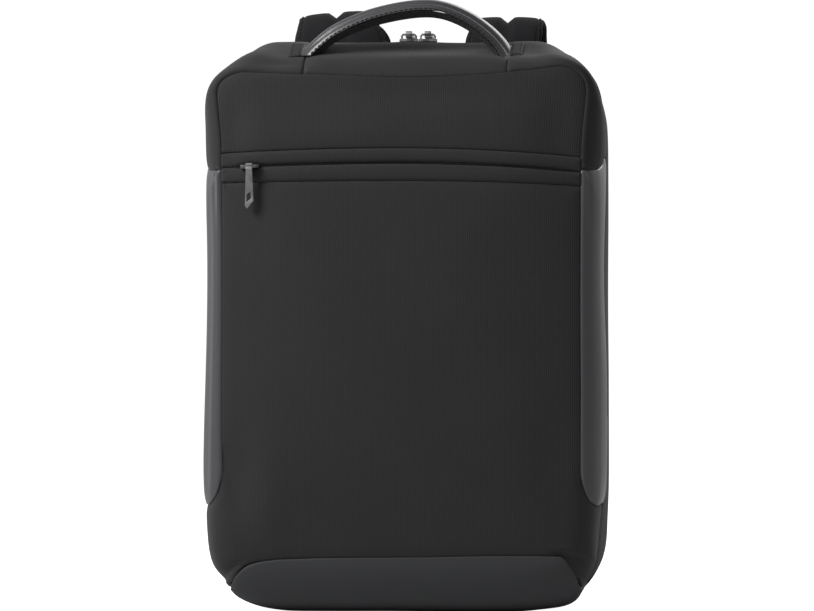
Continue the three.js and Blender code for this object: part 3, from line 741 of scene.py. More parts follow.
# Fine ribs that run along the cloth, uneven as knitted yarn is
def makeRibGroup():
    tree, given, result = newGroup(
        "knitRib",
        [
            ("Cut", "NodeSocketVector", None), ("Pitch", "NodeSocketFloat", 0.0012),
            ("Unevenness", "NodeSocketFloat", 1.0),
        ],
        [("Height", "NodeSocketFloat")],
    )
    split = addNode(tree, "ShaderNodeSeparateXYZ", [(0, given.outputs["Cut"])])
    turns = mathNode(tree, "DIVIDE", split.outputs[0], given.outputs["Pitch"])
    wander = noiseNode(tree, given.outputs["Cut"], "wander", 2.0)
    shift = mathNode(tree, "MULTIPLY", wander, given.outputs["Unevenness"])
    phase = mathNode(tree, "MULTIPLY", mathNode(tree, "ADD", turns, shift), 2 * math.pi)
    wave = mathNode(tree, "SINE", phase)
    fuzz = noiseNode(tree, given.outputs["Cut"], "fuzz", 3.0)
    height = mathNode(tree, "ADD", mathNode(tree, "MULTIPLY", wave, 0.5), fuzz)
    tree.links.new(height, result.inputs["Height"])
    return tree


# Over and under threads
def makeWeaveGroup():
    tree, given, result = newGroup(
        "weave",
        [("Cut", "NodeSocketVector", None), ("Pitch", "NodeSocketFloat", 0.0015)],
        [("Height", "NodeSocketFloat"), ("Gap", "NodeSocketFloat")],
    )
    split = addNode(tree, "ShaderNodeSeparateXYZ", [(0, given.outputs["Cut"])])
    waves = []
    for axis in (0, 1):
        turns = mathNode(tree, "DIVIDE", split.outputs[axis], given.outputs["Pitch"])
        waves.append(mathNode(tree, "SINE", mathNode(tree, "MULTIPLY", turns, 2 * math.pi)))
    fuzz = noiseNode(tree, given.outputs["Cut"], "threadFuzz", 2.0)
    height = mathNode(tree, "ADD", mathNode(tree, "MULTIPLY", *waves), mathNode(tree, "MULTIPLY", fuzz, 0.6))
    gap = mathNode(tree, "MULTIPLY", *[mathNode(tree, "ABSOLUTE", wave) for wave in waves])
    tree.links.new(height, result.inputs["Height"])
    tree.links.new(gap, result.inputs["Gap"])
    return tree


# Fine creases of coated cloth
def makeGrainGroup():
    tree, given, result = newGroup(
        "coatedGrain",
        [("Place", "NodeSocketVector", None), ("Scale", "NodeSocketFloat", 900.0)],
        [("Height", "NodeSocketFloat")],
    )
    place = given.outputs["Place"]
    links = [("Vector", place), ("Scale", given.outputs["Scale"])]
    cells = addNode(tree, "ShaderNodeTexVoronoi", links, feature="DISTANCE_TO_EDGE")
    broad = mathNode(tree, "MULTIPLY", noiseNode(tree, place, "creases", 4.0), 0.7)
    height = mathNode(tree, "ADD", cells.outputs["Distance"], broad)
    tree.links.new(height, result.inputs["Height"])
    return tree


# Slow change of tone over the cloth, with pale lint where it faces up
def makeToneGroup():
    tree, given, result = newGroup(
        "clothTone",
        [
            ("Place", "NodeSocketVector", None), ("Color", "NodeSocketColor", (0.03, 0.03, 0.03, 1)),
            ("Change", "NodeSocketFloat", 0.15), ("Lint", "NodeSocketFloat", 0.02),
        ],
        [("Color", "NodeSocketColor"), ("Tone", "NodeSocketFloat")],
    )
    place = given.outputs["Place"]
    slow = noiseNode(tree, place, "slowTone", 3.0)
    quick = mathNode(tree, "MULTIPLY", noiseNode(tree, place, "quickTone", 2.0), 0.5)
    both = mathNode(tree, "SUBTRACT", mathNode(tree, "ADD", slow, quick), 0.75)
    tone = mathNode(tree, "ADD", mathNode(tree, "MULTIPLY", both, given.outputs["Change"]), 1.0)
    links = [(0, given.outputs["Color"]), ("Scale", tone)]
    tinted = addNode(tree, "ShaderNodeVectorMath", links, operation="SCALE").outputs[0]
    facing = addNode(tree, "ShaderNodeNewGeometry").outputs["Normal"]
    up = addNode(tree, "ShaderNodeSeparateXYZ", [(0, facing)]).outputs[2]
    specks = noiseNode(tree, place, "lint", 1.0)
    speck = addNode(tree, "ShaderNodeMapRange", [(0, specks), (1, 0.66), (2, 0.8)]).outputs[0]
    dust = mathNode(tree, "MULTIPLY", mathNode(tree, "MAXIMUM", up, 0.15), speck)
    share = mathNode(tree, "MULTIPLY", dust, given.outputs["Lint"])
    tree.links.new(mixColours(tree, share, tinted, (0.5, 0.5, 0.5, 1)), result.inputs["Color"])
    tree.links.new(tone, result.inputs["Tone"])
    return tree


# Rubbed edges: a mask that is 1 on sharp outer edges
def makeWearGroup():
    tree, given, result = newGroup(
        "rubbedEdge",
        [
            ("Place", "NodeSocketVector", None), ("Start", "NodeSocketFloat", 0.53),
            ("End", "NodeSocketFloat", 0.6),
        ],
        [("Mask", "NodeSocketFloat")],
    )
    sharp = addNode(tree, "ShaderNodeNewGeometry").outputs["Pointiness"]
    links = [(0, sharp), (1, given.outputs["Start"]), (2, given.outputs["End"])]
    worn = addNode(tree, "ShaderNodeMapRange", links).outputs[0]
    mask = mathNode(tree, "MULTIPLY", worn, noiseNode(tree, given.outputs["Place"], "rubbed", 4.0))
    tree.links.new(mask, result.inputs["Mask"])
    return tree


groups = {
    "rib": makeRibGroup(),
    "weave": makeWeaveGroup(),
    "grain": makeGrainGroup(),
    "tone": makeToneGroup(),
    "wear": makeWearGroup(),
}


def startMaterial(name, roughness, **constants):
    material = bpy.data.materials.new(name)
    material.use_nodes = True
    tree = material.node_tree
    shader = tree.nodes["Principled BSDF"]
    shader.inputs["Roughness"].default_value = roughness
    for key, value in constants.items():
        shader.inputs[key].default_value = value
    place = tree.nodes.new("ShaderNodeTexCoord").outputs["Object"]
    return material, tree, shader, place


def useGroup(tree, key, links):
    return addNode(tree, "ShaderNodeGroup", links, node_tree=groups[key])


def useTone(tree, place, color, change, lint):
    links = [("Place", place), ("Color", (*color, 1)), ("Change", change), ("Lint", lint)]
    return useGroup(tree, "tone", links)


def useCut(tree):
    return addNode(tree, "ShaderNodeAttribute", attribute_name="cut").outputs["Vector"]


def addBump(tree, shader, height, distance):
    bump = addNode(tree, "ShaderNodeBump", [("Height", height), ("Distance", distance), ("Strength", 1.0)])
    tree.links.new(bump.outputs[0], shader.inputs["Normal"])


def varyRoughness(tree, shader, value, low, high):
    spread = addNode(tree, "ShaderNodeMapRange", [(0, value), (3, low), (4, high)])
    tree.links.new(spread.outputs[0], shader.inputs["Roughness"])


# Padded knit of the body and the straps
def makeKnit(name, color, roughness, pitch, lint, bump, sheen):
    constants = {"Specular IOR Level": 0.25, "Sheen Weight": sheen, "Sheen Roughness": 0.45}
    material, tree, shader, place = startMaterial(name, roughness, **constants)
    rib = useGroup(tree, "rib", [("Cut", useCut(tree)), ("Pitch", pitch), ("Unevenness", 0.35)])
    tone = useTone(tree, place, color, 0.22, lint)
    tree.links.new(tone.outputs["Color"], shader.inputs["Base Color"])
    varyRoughness(tree, shader, rib.outputs["Height"], roughness - 0.06, min(1, roughness + 0.08))
    addBump(tree, shader, rib.outputs["Height"], bump)
    return material


# Smooth coated cloth, and the matt coated cloth of the base
def makeCoated(name, color, roughness, grainScale, bump, coat=0.0):
    constants = {"Specular IOR Level": 0.5, "Coat Roughness": 0.35, "Coat Weight": coat}
    material, tree, shader, place = startMaterial(name, roughness, **constants)
    grain = useGroup(tree, "grain", [("Place", place), ("Scale", grainScale)])
    tone = useTone(tree, place, color, 0.14, 0.004)
    wear = mathNode(tree, "MULTIPLY", useGroup(tree, "wear", [("Place", place)]).outputs["Mask"], 0.35)
    rubbed = (*[min(1, part * 2.2) for part in color], 1)
    tree.links.new(mixColours(tree, wear, tone.outputs["Color"], rubbed), shader.inputs["Base Color"])
    varyRoughness(tree, shader, tone.outputs["Tone"], roughness - 0.05, roughness + 0.1)
    addBump(tree, shader, grain.outputs["Height"], bump)
    return material


# Woven tape, webbing, thread and air mesh, with painted shade between the threads
def makeWoven(name, color, roughness, pitch, bump):
    constants = {"Specular IOR Level": 0.3, "Sheen Weight": 0.1}
    material, tree, shader, place = startMaterial(name, roughness, **constants)
    weave = useGroup(tree, "weave", [("Cut", useCut(tree)), ("Pitch", pitch)])
    tone = useTone(tree, place, color, 0.25, 0.02)
    # Painted shade: the colour goes darker in the gaps between the threads
    shade = addNode(tree, "ShaderNodeValToRGB", [(0, weave.outputs["Gap"])])
    shade.color_ramp.elements[0].color = (0.35, 0.35, 0.35, 1)
    shade.color_ramp.elements[1].color = (1, 1, 1, 1)
    woven = mixColours(tree, 0.6, tone.outputs["Color"], shade.outputs[0], "MULTIPLY")
    tree.links.new(woven, shader.inputs["Base Color"])
    varyRoughness(tree, shader, weave.outputs["Gap"], min(1, roughness + 0.1), roughness - 0.05)
    addBump(tree, shader, weave.outputs["Height"], bump)
    return material


def makeMetal(name, color, roughness):
    material, tree, shader, place = startMaterial(name, roughness, Metallic=1.0)
    wear = useGroup(tree, "wear", [("Place", place), ("Start", 0.52), ("End", 0.58)])
    tone = useTone(tree, place, color, 0.2, 0.0)
    worn = mixColours(tree, wear.outputs["Mask"], tone.outputs["Color"], (0.75, 0.75, 0.76, 1))
    tree.links.new(worn, shader.inputs["Base Color"])
    scratch = noiseNode(tree, place, "scratches", 3.0)
    varyRoughness(tree, shader, scratch, roughness - 0.08, roughness + 0.12)
    return material


def makePlastic(name, color, roughness):
    material, tree, shader, place = startMaterial(name, roughness)
    tone = useTone(tree, place, color, 0.1, 0.01)
    tree.links.new(tone.outputs["Color"], shader.inputs["Base Color"])
    addBump(tree, shader, noiseNode(tree, place, "moulded", 2.0), 0.00006)
    return material


looks = {
    "body": makeKnit("bodyKnit", (0.034, 0.034, 0.0345), 0.84, 0.0016, 0.02, 0.00009, 0.16),
    "strap": makeKnit("strapCloth", (0.017, 0.0165, 0.0185), 0.9, 0.0015, 0.02, 0.00012, 0.04),
    "coated": makeCoated("coatedCloth", (0.042, 0.042, 0.048), 0.38, 1100.0, 0.00005, 0.85),
    "handle": makeCoated("handleCloth", (0.027, 0.027, 0.031), 0.3, 1100.0, 0.00004, 0.5),
    # The tabs' coated cloth is painted much darker than the side panels' to stand for the shade it lies in
    "tab": makeCoated("shadedTabCloth", (0.012, 0.012, 0.014), 0.62, 1100.0, 0.00005),
    "base": makeCoated("baseCloth", (0.037, 0.038, 0.041), 0.6, 1500.0, 0.00003),
    "mesh": makeWoven("airMesh", (0.02, 0.02, 0.021), 0.92, 0.0032, 0.0006),
    "tape": makeWoven("zipTape", (0.013, 0.013, 0.014), 0.85, 0.0012, 0.00015),
    "webbing": makeWoven("webbing", (0.02, 0.02, 0.022), 0.8, 0.0022, 0.0003),
    "thread": makeWoven("thread", (0.022, 0.022, 0.023), 0.7, 0.0006, 0.0001),
    "metal": makeMetal("gunmetal", (0.13, 0.13, 0.14), 0.26),
    "plastic": makePlastic("lockPlastic", (0.016, 0.016, 0.017), 0.45),
}
print("materials ready:", len(looks))


# The base's seam: nearly level across the front, turned down softly at the left and sharply at the right
baseSeam = np.array([
    (-140, 2), (-134, 8), (-130, 15), (-127.4, 21), (-124.5, 26.5), (-120.7, 31.2), (-116.6, 34.1),
    (-111, 36.2), (-103, 37.8), (-91, 39.2), (-58, 40.4), (14, 41.1), (62, 42.2), (100, 42.4), (119.5, 42.2),
    (122, 41.4), (123.8, 39.4), (126.4, 34.6), (128.8, 29.2), (131, 22.5), (133.3, 14.7), (136, 6), (140, 1),
])


def baseSeamZ(x):
    return np.interp(x, baseSeam[:, 0], baseSeam[:, 1])


# Where the base's seam crosses each section of one side: girth, place across and height
def baseCrossing(depths, side):
    rows = []
    ways = np.linspace(1, 2.4, 900)
    for depth in depths:
        at = np.interp(depth, depthTable, atTable)
        x, z = rightLoop(np.full_like(ways, at), ways)
        way = np.interp(0, z - baseSeamZ(side * x), ways)
        girth = np.interp(way, wayTable, girthTable)
        rows.append((side * girth, side * np.interp(way, ways, x), np.interp(way, ways, z)))
    return np.array(rows)


backDepth = depthTable[-1]
zipFrontDepth = float(depthOfY(bag["zipFront"]))
zipRearDepth = float(depthOfY(bag["zipFront"] + bag["zipWidth"]))
zipMiddleDepth = float(depthOfY(bag["zipFront"] + bag["zipWidth"] / 2))


slit = {
    "open": 0.95, "shut": 0.3, "openRun": 14, "endRun": 20, "endShare": 0.25, "atSlider": 1.75,
    "sliderX": -111, "sliderReach": 9,
}


# Half the gap between the welts: shut left of the slider, open right of it, and widest where it runs
def slitHalf(x):
    wide = mix(slit["shut"], slit["open"], np.clip((x - slit["sliderX"]) / slit["openRun"] + 0.5, 0, 1))
    wide = wide * np.clip((seamHalf - np.abs(x)) / slit["endRun"], slit["endShare"], 1)
    near = np.exp(-(((x - slit["sliderX"]) / slit["sliderReach"]) ** 4))
    return mix(wide, slit["atSlider"], near)


# Front: the top part, two welts and the padded face
def makeFront():
    lowEnd = lineZ("weltTop", np.array([seamHalf, -seamHalf]))
    edges = [across("weltTop"), seamOver(*lowEnd)]
    top = sewPanel("frontTopPanel", edges, facePoint, looks["body"])
    dress(top, ["front_top_panel"])
    x = np.linspace(-seamHalf, seamHalf, 241)
    slitTop = np.stack([x, lineZ("zip", x) + slitHalf(x)], -1)
    slitFoot = np.stack([x, lineZ("zip", x) - slitHalf(x)], -1)
    for name, low, high, node in [
        ("pocketWeltUpper", slitTop, across("weltTop"), "pocket_welt_upper"),
        ("pocketWeltLower", across("weltFoot"), slitFoot, "pocket_welt_lower"),
    ]:
        edges = [low, uprightEdge(seamHalf, low[-1, 1], high[-1, 1]), high[::-1],
                 uprightEdge(-seamHalf, high[0, 1], low[0, 1])]
        welt = sewPanel(name, edges, facePoint, looks["body"], proud=0.8, roll=2.2, puff=0.9, cell=2.0)
        dress(welt, [node])
    dress(makeFrontFace(), ["front_panel"])


sidePanel = {"foot": 79, "footRound": 28, "front": bag["ridge"] - 95, "rear": bag["ridge"] - 86, "sweep": 38}


# The side panel's rounded lower front corner, as depth and height
def sideFootCurve():
    turn = np.linspace(0, math.pi / 2, 40)
    share = np.cos(turn)
    widening = slice(260)  # the front stretch of the tables, in which the flank still widens
    flank = flankSizes["half"][widening]
    depth = np.interp(bag["half"] - bag["shoulder"] * share, flank, depthTable[widening])
    return depth, sidePanel["foot"] + sidePanel["footRound"] * (1 - np.sin(turn))


# Creases of the front's cloth, in its pattern: from, to, how deep, and how far they fade below and above
frontCreases = [
    {"from": (117, 43.5), "to": (150, 37), "sink": 2.2, "below": 8, "above": 1.8},
    {"from": (-116, 37), "to": (-136, 52), "sink": 0.8, "below": 6, "above": 5},
    {"from": (-133, 118), "to": (-124, 80), "sink": 0.9, "below": 5, "above": 7},
]


creaseForm = {"startFade": 0.12, "end": 1.15, "endPower": 0.7, "lip": 0.35, "lipAt": 2.2, "lipWide": 1.4}


def creased(flat):
    total = np.zeros(len(flat))
    for crease in frontCreases:
        start, end = np.array(crease["from"]), np.array(crease["to"])
        way = end - start
        length = np.linalg.norm(way)
        way = way / length
        along = (flat - start) @ way / length
        up = (flat - start) @ np.array([-way[1], way[0]]) * np.sign(way[0])
        fade = np.exp(-(np.maximum(0, -along) / creaseForm["startFade"]) ** 2)
        fade = fade * np.clip(creaseForm["end"] - along, 0, 1) ** creaseForm["endPower"]
        hollow = np.where(up < 0, np.exp(up / crease["below"]), np.exp(-(up / crease["above"]) ** 2))
        lipPlace = creaseForm["lipAt"] * crease["above"]
        lipReach = creaseForm["lipWide"] * crease["above"]
        lip = creaseForm["lip"] * np.exp(-((up - lipPlace) / lipReach) ** 2)
        total = total - crease["sink"] * fade * (hollow - lip)
    return total


# Half of the front's edge, from the base's seam round the side to the pocket's lower seam
def frontSide(side):
    depths = np.concatenate([[0], np.linspace(0.02, 1, 40) * zipMiddleDepth])
    crossing = baseCrossing(depths, side)
    low = np.stack([frontPattern(depths, crossing[:, 2], side), crossing[:, 2]], -1)
    rearZ = np.linspace(crossing[-1, 2], sidePanel["foot"], 20)
    rear = np.stack([frontPattern(np.full_like(rearZ, zipMiddleDepth), rearZ, side), rearZ], -1)
    footDepth, footZ = sideFootCurve()
    foot = np.stack([frontPattern(footDepth, footZ, side), footZ], -1)[::-1]
    top = (side * seamHalf, float(lineZ("weltFoot", np.array(side * seamHalf))))
    return crossing[0, 1], [low, rear, np.array([rear[-1], foot[0]]), np.concatenate([foot, [top]])]


# Where the folds of the front's cloth are rounded off
lowCorners = {"share": 0.8, "inset": 2, "reach": 12, "top": 112, "run": 16}


def makeFrontFace():
    rightX, right = frontSide(1)
    leftX, left = frontSide(-1)
    xs = np.linspace(leftX, rightX, 241)
    baseEdge = np.stack([xs, baseSeamZ(xs)], -1)
    edges = [np.concatenate([baseEdge, right[0][1:]]), *right[1:], across("weltFoot")[::-1]]
    edges += [edge[::-1] for edge in left[::-1]]

    def soften(flat, base):
        near = np.exp(-((np.abs(base[:, 0]) - seamHalf + lowCorners["inset"]) / lowCorners["reach"]) ** 2)
        low = np.clip((lowCorners["top"] - base[:, 2]) / lowCorners["run"], 0, 1)
        return lowCorners["share"] * near * low

    def shape(flat, base, edge):
        return creased(flat)

    return sewPanel("frontPanel", edges, frontPoint, looks["body"], soften=soften, shape=shape, cell=2.3)


# Band behind the front seam
def capLineZ(depth):
    y = np.interp(depth, depthTable, flankSizes["y"])
    share = np.clip((y - seamY) / sidePanel["sweep"], 0, 1)
    return mix(sidePanel["rear"], sidePanel["front"], np.sqrt(1 - share ** 2))


def steps(low, high):
    return np.linspace(low, high, 60)


def alongDepth(girths, depths):
    return np.stack([girths, depths], -1)


def mirrored(edges):
    return [np.stack([-edge[:, 0], edge[:, 1]], -1)[::-1] for edge in edges][::-1]


def makeSides():
    footDepth, footZ = sideFootCurve()
    foot = alongDepth(girthAtZ(footDepth, footZ), footDepth)
    rearFoot = girthAtZ(zipMiddleDepth, sidePanel["foot"])[0]
    zipFoot = girthAtZ(zipMiddleDepth, bag["zipFoot"])[0]
    capDepth = steps(0, zipFrontDepth)
    cap = alongDepth(girthAtZ(capDepth, capLineZ(capDepth)), capDepth)
    edges = [
        np.concatenate([foot, [(rearFoot, zipMiddleDepth)]]),
        np.array([(rearFoot, zipMiddleDepth), (zipFoot, zipMiddleDepth)]),
        np.array([(zipFoot, zipMiddleDepth), (zipFoot, zipFrontDepth)]),
        np.array([(zipFoot, zipFrontDepth), tuple(cap[-1])]),
        cap[::-1],
        np.array([tuple(cap[0]), tuple(foot[0])]),
    ]
    swell = {
        "rise": 1.3, "reach": 14, "bead": 0.35, "beadAt": 2.2, "beadWide": 1.4,
        "hollow": 0.8, "hollowAt": 5.2, "hollowWide": 1.5, "topBead": 0.9, "topDrop": 96, "topReach": 30,
    }

    def rolledEdge(flat, base, edge):
        high = np.exp(-((bag["ridge"] - swell["topDrop"] - base[:, 2]) / swell["topReach"]) ** 2)
        bead = np.exp(-((flat[:, 1] - swell["beadAt"]) / swell["beadWide"]) ** 2)
        hollow = np.exp(-((flat[:, 1] - swell["hollowAt"]) / swell["hollowWide"]) ** 2)
        rolled = (bead - swell["hollow"] * hollow) * (swell["bead"] + swell["topBead"] * high)
        return rolled + swell["rise"] * (1 - np.exp(-edge / swell["reach"]))

    for word, way in (("Right", edges), ("Left", mirrored(edges))):
        relief = {"proud": 0.7, "roll": 1.3, "shape": rolledEdge}
        side = sewPanel(f"sidePanel{word}", way, beltPoint, looks["coated"], **relief)
        dress(side, [f"side_panel_{word.lower()}"])


def makeTop():
    low, high = nodeBox("top_panel")
    gap = 0.2
    depths = steps(0, zipFrontDepth)
    leftLine, rightLine = (alongDepth(girthAtX(depths, x), depths) for x in (low[0] - gap, high[0] + gap))
    caps = alongDepth(girthAtZ(depths, capLineZ(depths)), depths)
    leftCaps = np.stack([2 * halfGirth - caps[:, 0], caps[:, 1]], -1)
    for name, low, high, node in [
        ("topCapRight", caps, rightLine, "top_cap_right"),
        ("topPanel", rightLine, leftLine, "top_panel"),
        ("topCapLeft", leftLine, leftCaps, "top_cap_left"),
    ]:
        edges = [low, np.array([low[-1], high[-1]]), high[::-1], np.array([high[0], low[0]])]
        proud = 1.2 if "Cap" in name else 0.6
        piece = sewPanel(name, edges, beltPoint, looks["body"], proud=proud, puff=0.9)
        dress(piece, [node])


def makeRear():
    depths = steps(zipMiddleDepth, backDepth)
    full = 2 * halfGirth
    right = alongDepth(baseCrossing(depths, 1)[:, 0], depths)
    left = alongDepth(full + baseCrossing(depths, -1)[:, 0], depths)
    zipFootMiddle = girthAtZ(zipMiddleDepth, bag["zipFoot"])[0]
    zipFootRear = girthAtZ(zipRearDepth, bag["zipFoot"])[0]
    edges = [
        right[::-1],
        np.array([right[0], (zipFootMiddle, zipMiddleDepth)]),
        np.array([(zipFootMiddle, zipMiddleDepth), (zipFootRear, zipRearDepth)]),
        np.array([(zipFootRear, zipRearDepth), (full - zipFootRear, zipRearDepth)]),
        np.array([(full - zipFootRear, zipRearDepth), (full - zipFootMiddle, zipMiddleDepth)]),
        np.array([(full - zipFootMiddle, zipMiddleDepth), left[0]]),
        left,
        np.array([left[-1], right[-1]]),
    ]
    piece = sewPanel("rearGusset", edges, beltPoint, looks["body"], puff=0.9)
    dress(piece, ["rear_gusset"])


def makeBase():
    depths = np.concatenate([[0], np.linspace(0.01, 1, 70) * backDepth])
    right = alongDepth(baseCrossing(depths, 1)[:, 0], depths)
    left = alongDepth(baseCrossing(depths, -1)[:, 0], depths)
    girths = np.linspace(left[0, 0], right[0, 0], 241)
    lip = beltPoint(girths, np.zeros_like(girths))
    face = np.stack([girths, lip[:, 2] - baseSeamZ(lip[:, 0])], -1)
    edges = [np.concatenate([left[::-1], face[1:-1], right]), np.array([right[-1], left[-1]])]

    def soften(flat, base):
        return 0.7 * np.exp(-(flat[:, 1] / 9) ** 2)

    relief = {"proud": 0.7, "roll": 1.3, "puff": 0.5, "soften": soften}
    piece = sewPanel("basePanel", edges, basePoint, looks["base"], **relief)
    keepAboveFloor(piece)
    dress(piece, ["base_panel"])


# What rests on the floor lies flat on it
def keepAboveFloor(obj):
    for vertex in obj.data.vertices:
        vertex.co.z = max(vertex.co.z, 0.1 * mm)


makeFront()
makeSides()
makeTop()
makeRear()
makeBase()
print("body panels sewn")


# Faces of a closed tube of rings
def tubeFaces(stations, count):
    faces = []
    for i in range(stations - 1):
        for k in range(count):
            j = (k + 1) % count
            faces.append((i * count + k, i * count + j, (i + 1) * count + j, (i + 1) * count + k))
    faces.append(tuple(range(count))[::-1])
    faces.append(tuple((stations - 1) * count + k for k in range(count)))
    return faces


# A tube or band through rings of points, closed at both ends
def sweep(name, rings, material, cut):
    rings = np.asarray(rings, float)
    faces = tubeFaces(*rings.shape[:2])
    obj = makeObject(name, rings.reshape(-1, 3), faces, material, np.asarray(cut).reshape(-1, 2))
    fixNormals(obj)
    return obj


# A smooth curve through a few points, as evenly spaced ones, and its length
def smoothPath(points, count):
    p = np.asarray(points, float)
    p = np.concatenate([[2 * p[0] - p[1]], p, [2 * p[-1] - p[-2]]])
    dense = []
    for i in range(1, len(p) - 2):
        knots = [0.0]
        for a, b in ((i - 1, i), (i, i + 1), (i + 1, i + 2)):
            knots.append(knots[-1] + max(np.linalg.norm(p[b] - p[a]), 1e-6) ** 0.5)
        t = np.linspace(knots[1], knots[2], 24, endpoint=i == len(p) - 3)[:, None]
        layer = [p[i - 1], p[i], p[i + 1], p[i + 2]]
        for level in (1, 2, 3):
            nxt = []
            for k in range(4 - level):
                a, b = (knots[1], knots[2]) if level == 3 else (knots[k], knots[k + level])
                nxt.append(((b - t) * layer[k] + (t - a) * layer[k + 1]) / (b - a))
            layer = nxt
        dense.append(layer[0])
    dense = np.concatenate(dense)
    lengths = runLengths(dense)
    return pointsAt(dense, lengths, np.linspace(0, lengths[-1], count)), lengths[-1]


def tangents(line):
    return unit(np.gradient(line, axis=0))


# Stitches: short raised threads along lines that lie on a surface
stitch = {"length": 2.6, "gap": 1.1, "radius": 0.32, "sides": 6, "ahead": 0.5}
stitchForm = [  # share of the length, lift and width
    (0, -0.3, 0.5), (0.2, 0.35, 1), (0.5, 0.6, 1), (0.8, 0.35, 1), (1, -0.3, 0.5),
]


def stitches(name, runs):
    points, faces = [], []
    tube = tubeFaces(len(stitchForm), stitch["sides"])
    for line, normals in runs:
        line = np.asarray(line, float)
        lengths = runLengths(line)
        step = stitch["length"] + stitch["gap"]
        for start in np.arange(stitch["gap"], lengths[-1] - stitch["length"], step):
            faces += [tuple(len(points) + k for k in face) for face in tube]
            for along, lift, wide in stitchForm:
                place = start + along * stitch["length"]
                at = pointsAt(line, lengths, place)
                ahead = pointsAt(line, lengths, min(place + stitch["ahead"], lengths[-1]))
                normal = unit(pointsAt(normals, lengths, place))
                side = np.cross(unit(ahead - at + 1e-9), normal)
                middle = at + normal * lift * stitch["radius"]
                for k in range(stitch["sides"]):
                    turn = 2 * math.pi * k / stitch["sides"]
                    offset = side * math.cos(turn) + normal * math.sin(turn)
                    points.append(middle + offset * stitch["radius"] * wide)
    obj = makeObject(name, points, faces, looks["thread"], np.asarray(points)[:, [0, 2]])
    fixNormals(obj)
    return obj


# Main zip: a woven tape with its coil, over the top and down both sides
def makeMainZip():
    zipLook = {
        "recess": 1.3, "coilHalf": 2.9, "coilRise": 1.3, "pitch": 1.9, "perPitch": 4, "wave": 0.18,
        "groove": 0.35, "grooveWide": 0.16, "roundness": 0.7, "endGap": 0.4,
    }
    full = 2 * halfGirth
    foot = girthAtZ(zipMiddleDepth, bag["zipFoot"])[0] + zipLook["endGap"]
    edges = [
        np.array([(foot, zipFrontDepth), (full - foot, zipFrontDepth)]),
        np.array([(full - foot, zipFrontDepth), (full - foot, zipRearDepth)]),
        np.array([(full - foot, zipRearDepth), (foot, zipRearDepth)]),
        np.array([(foot, zipRearDepth), (foot, zipFrontDepth)]),
    ]
    relief = {"proud": -zipLook["recess"], "roll": 0.4, "puff": 0}
    tape = sewPanel("mainZipTape", edges, beltPoint, looks["tape"], **relief)
    dress(tape, ["main_zip"])
    step = zipLook["pitch"] / zipLook["perPitch"]
    girths = np.arange(foot + 1, full - foot - 1, step)
    angles = np.linspace(0, math.pi, 11)
    middle = pulled(beltPoint(girths, np.full_like(girths, zipMiddleDepth)))
    ahead = tangents(middle)
    depthWay = np.array([0.0, 1.0, 0.0])
    normals = unit(np.cross(np.broadcast_to(depthWay, ahead.shape), ahead))
    outward = np.sum(normals * (middle - [0, 0, bag["ridge"] / 2]), -1) > 0
    normals = np.where(outward[:, None], normals, -normals)
    wave = np.cos(2 * math.pi * girths / zipLook["pitch"])
    lift = unevenness(middle) - zipLook["recess"]
    rings = []
    for i in range(len(girths)):
        ring = []
        for angle in angles:
            share = -math.cos(angle)
            groove = 1 - zipLook["groove"] * math.exp(-(share / zipLook["grooveWide"]) ** 2)
            thread = 1 - zipLook["wave"] + zipLook["wave"] * wave[i]
            high = math.sin(angle) ** zipLook["roundness"] * zipLook["coilRise"] * thread * groove
            ring.append(middle[i] + normals[i] * (lift[i] + high) + depthWay * share * zipLook["coilHalf"])
        rings.append(ring)
    cut = np.stack(np.meshgrid(girths, angles, indexing="ij"), -1)
    coil = sweep("mainZipCoil", rings, looks["tape"], cut)
    dress(coil)


# Rings along the pocket's zip, back from the face. section(x) gives each point's height and depth
def pocketRings(xs, back, section, grow=1):
    rings, cut = [], []
    for x in xs:
        z = float(lineZ("zip", np.array(x)))
        y = float(seamY - faceSwell(np.array(x), np.array(z))) + back
        rings.append(pulled([(x, y + dy, z + dz * grow) for dz, dy in section(x)]))
        cut.append([(x, dz) for dz, dy in section(x)])
    return rings, cut


# Pocket zip: its tape behind the two welts, and its coil in the slit
def makePocketZip():
    pocket = {
        "coilBack": 1.6, "tapeBack": 2.9, "step": 0.5, "tapeStep": 4, "pitch": 1.5, "wave": 0.2, "grow": 1.2,
    }
    low, high = nodeBox("pocket_zip")

    def coilSection(x):
        w = pocket["wave"] * np.cos(2 * math.pi * x / pocket["pitch"])
        return [(-1.2, 0.4), (-0.9, -0.3 - w), (-0.3, -0.6 - w), (0, -0.35), (0.3, -0.6 + w), (0.9, -0.3 + w),
                (1.2, 0.4)]

    def tapeSection(x):
        return [(-12, 0), (-4, 0), (4, 0), (12, 0), (12, 1), (4, 1), (-4, 1), (-12, 1)]

    xs = np.arange(low[0], high[0], pocket["step"])
    rings, cut = pocketRings(xs, pocket["coilBack"], coilSection, pocket["grow"])
    dress(sweep("pocketZipCoil", rings, looks["tape"], cut))
    xs = np.arange(low[0], high[0] + pocket["tapeStep"] / 2, pocket["tapeStep"])
    rings, cut = pocketRings(xs, pocket["tapeBack"], tapeSection)
    dress(sweep("pocketZipTape", rings, looks["tape"], cut), ["pocket_zip"])


makeMainZip()
makePocketZip()
print("zips made")


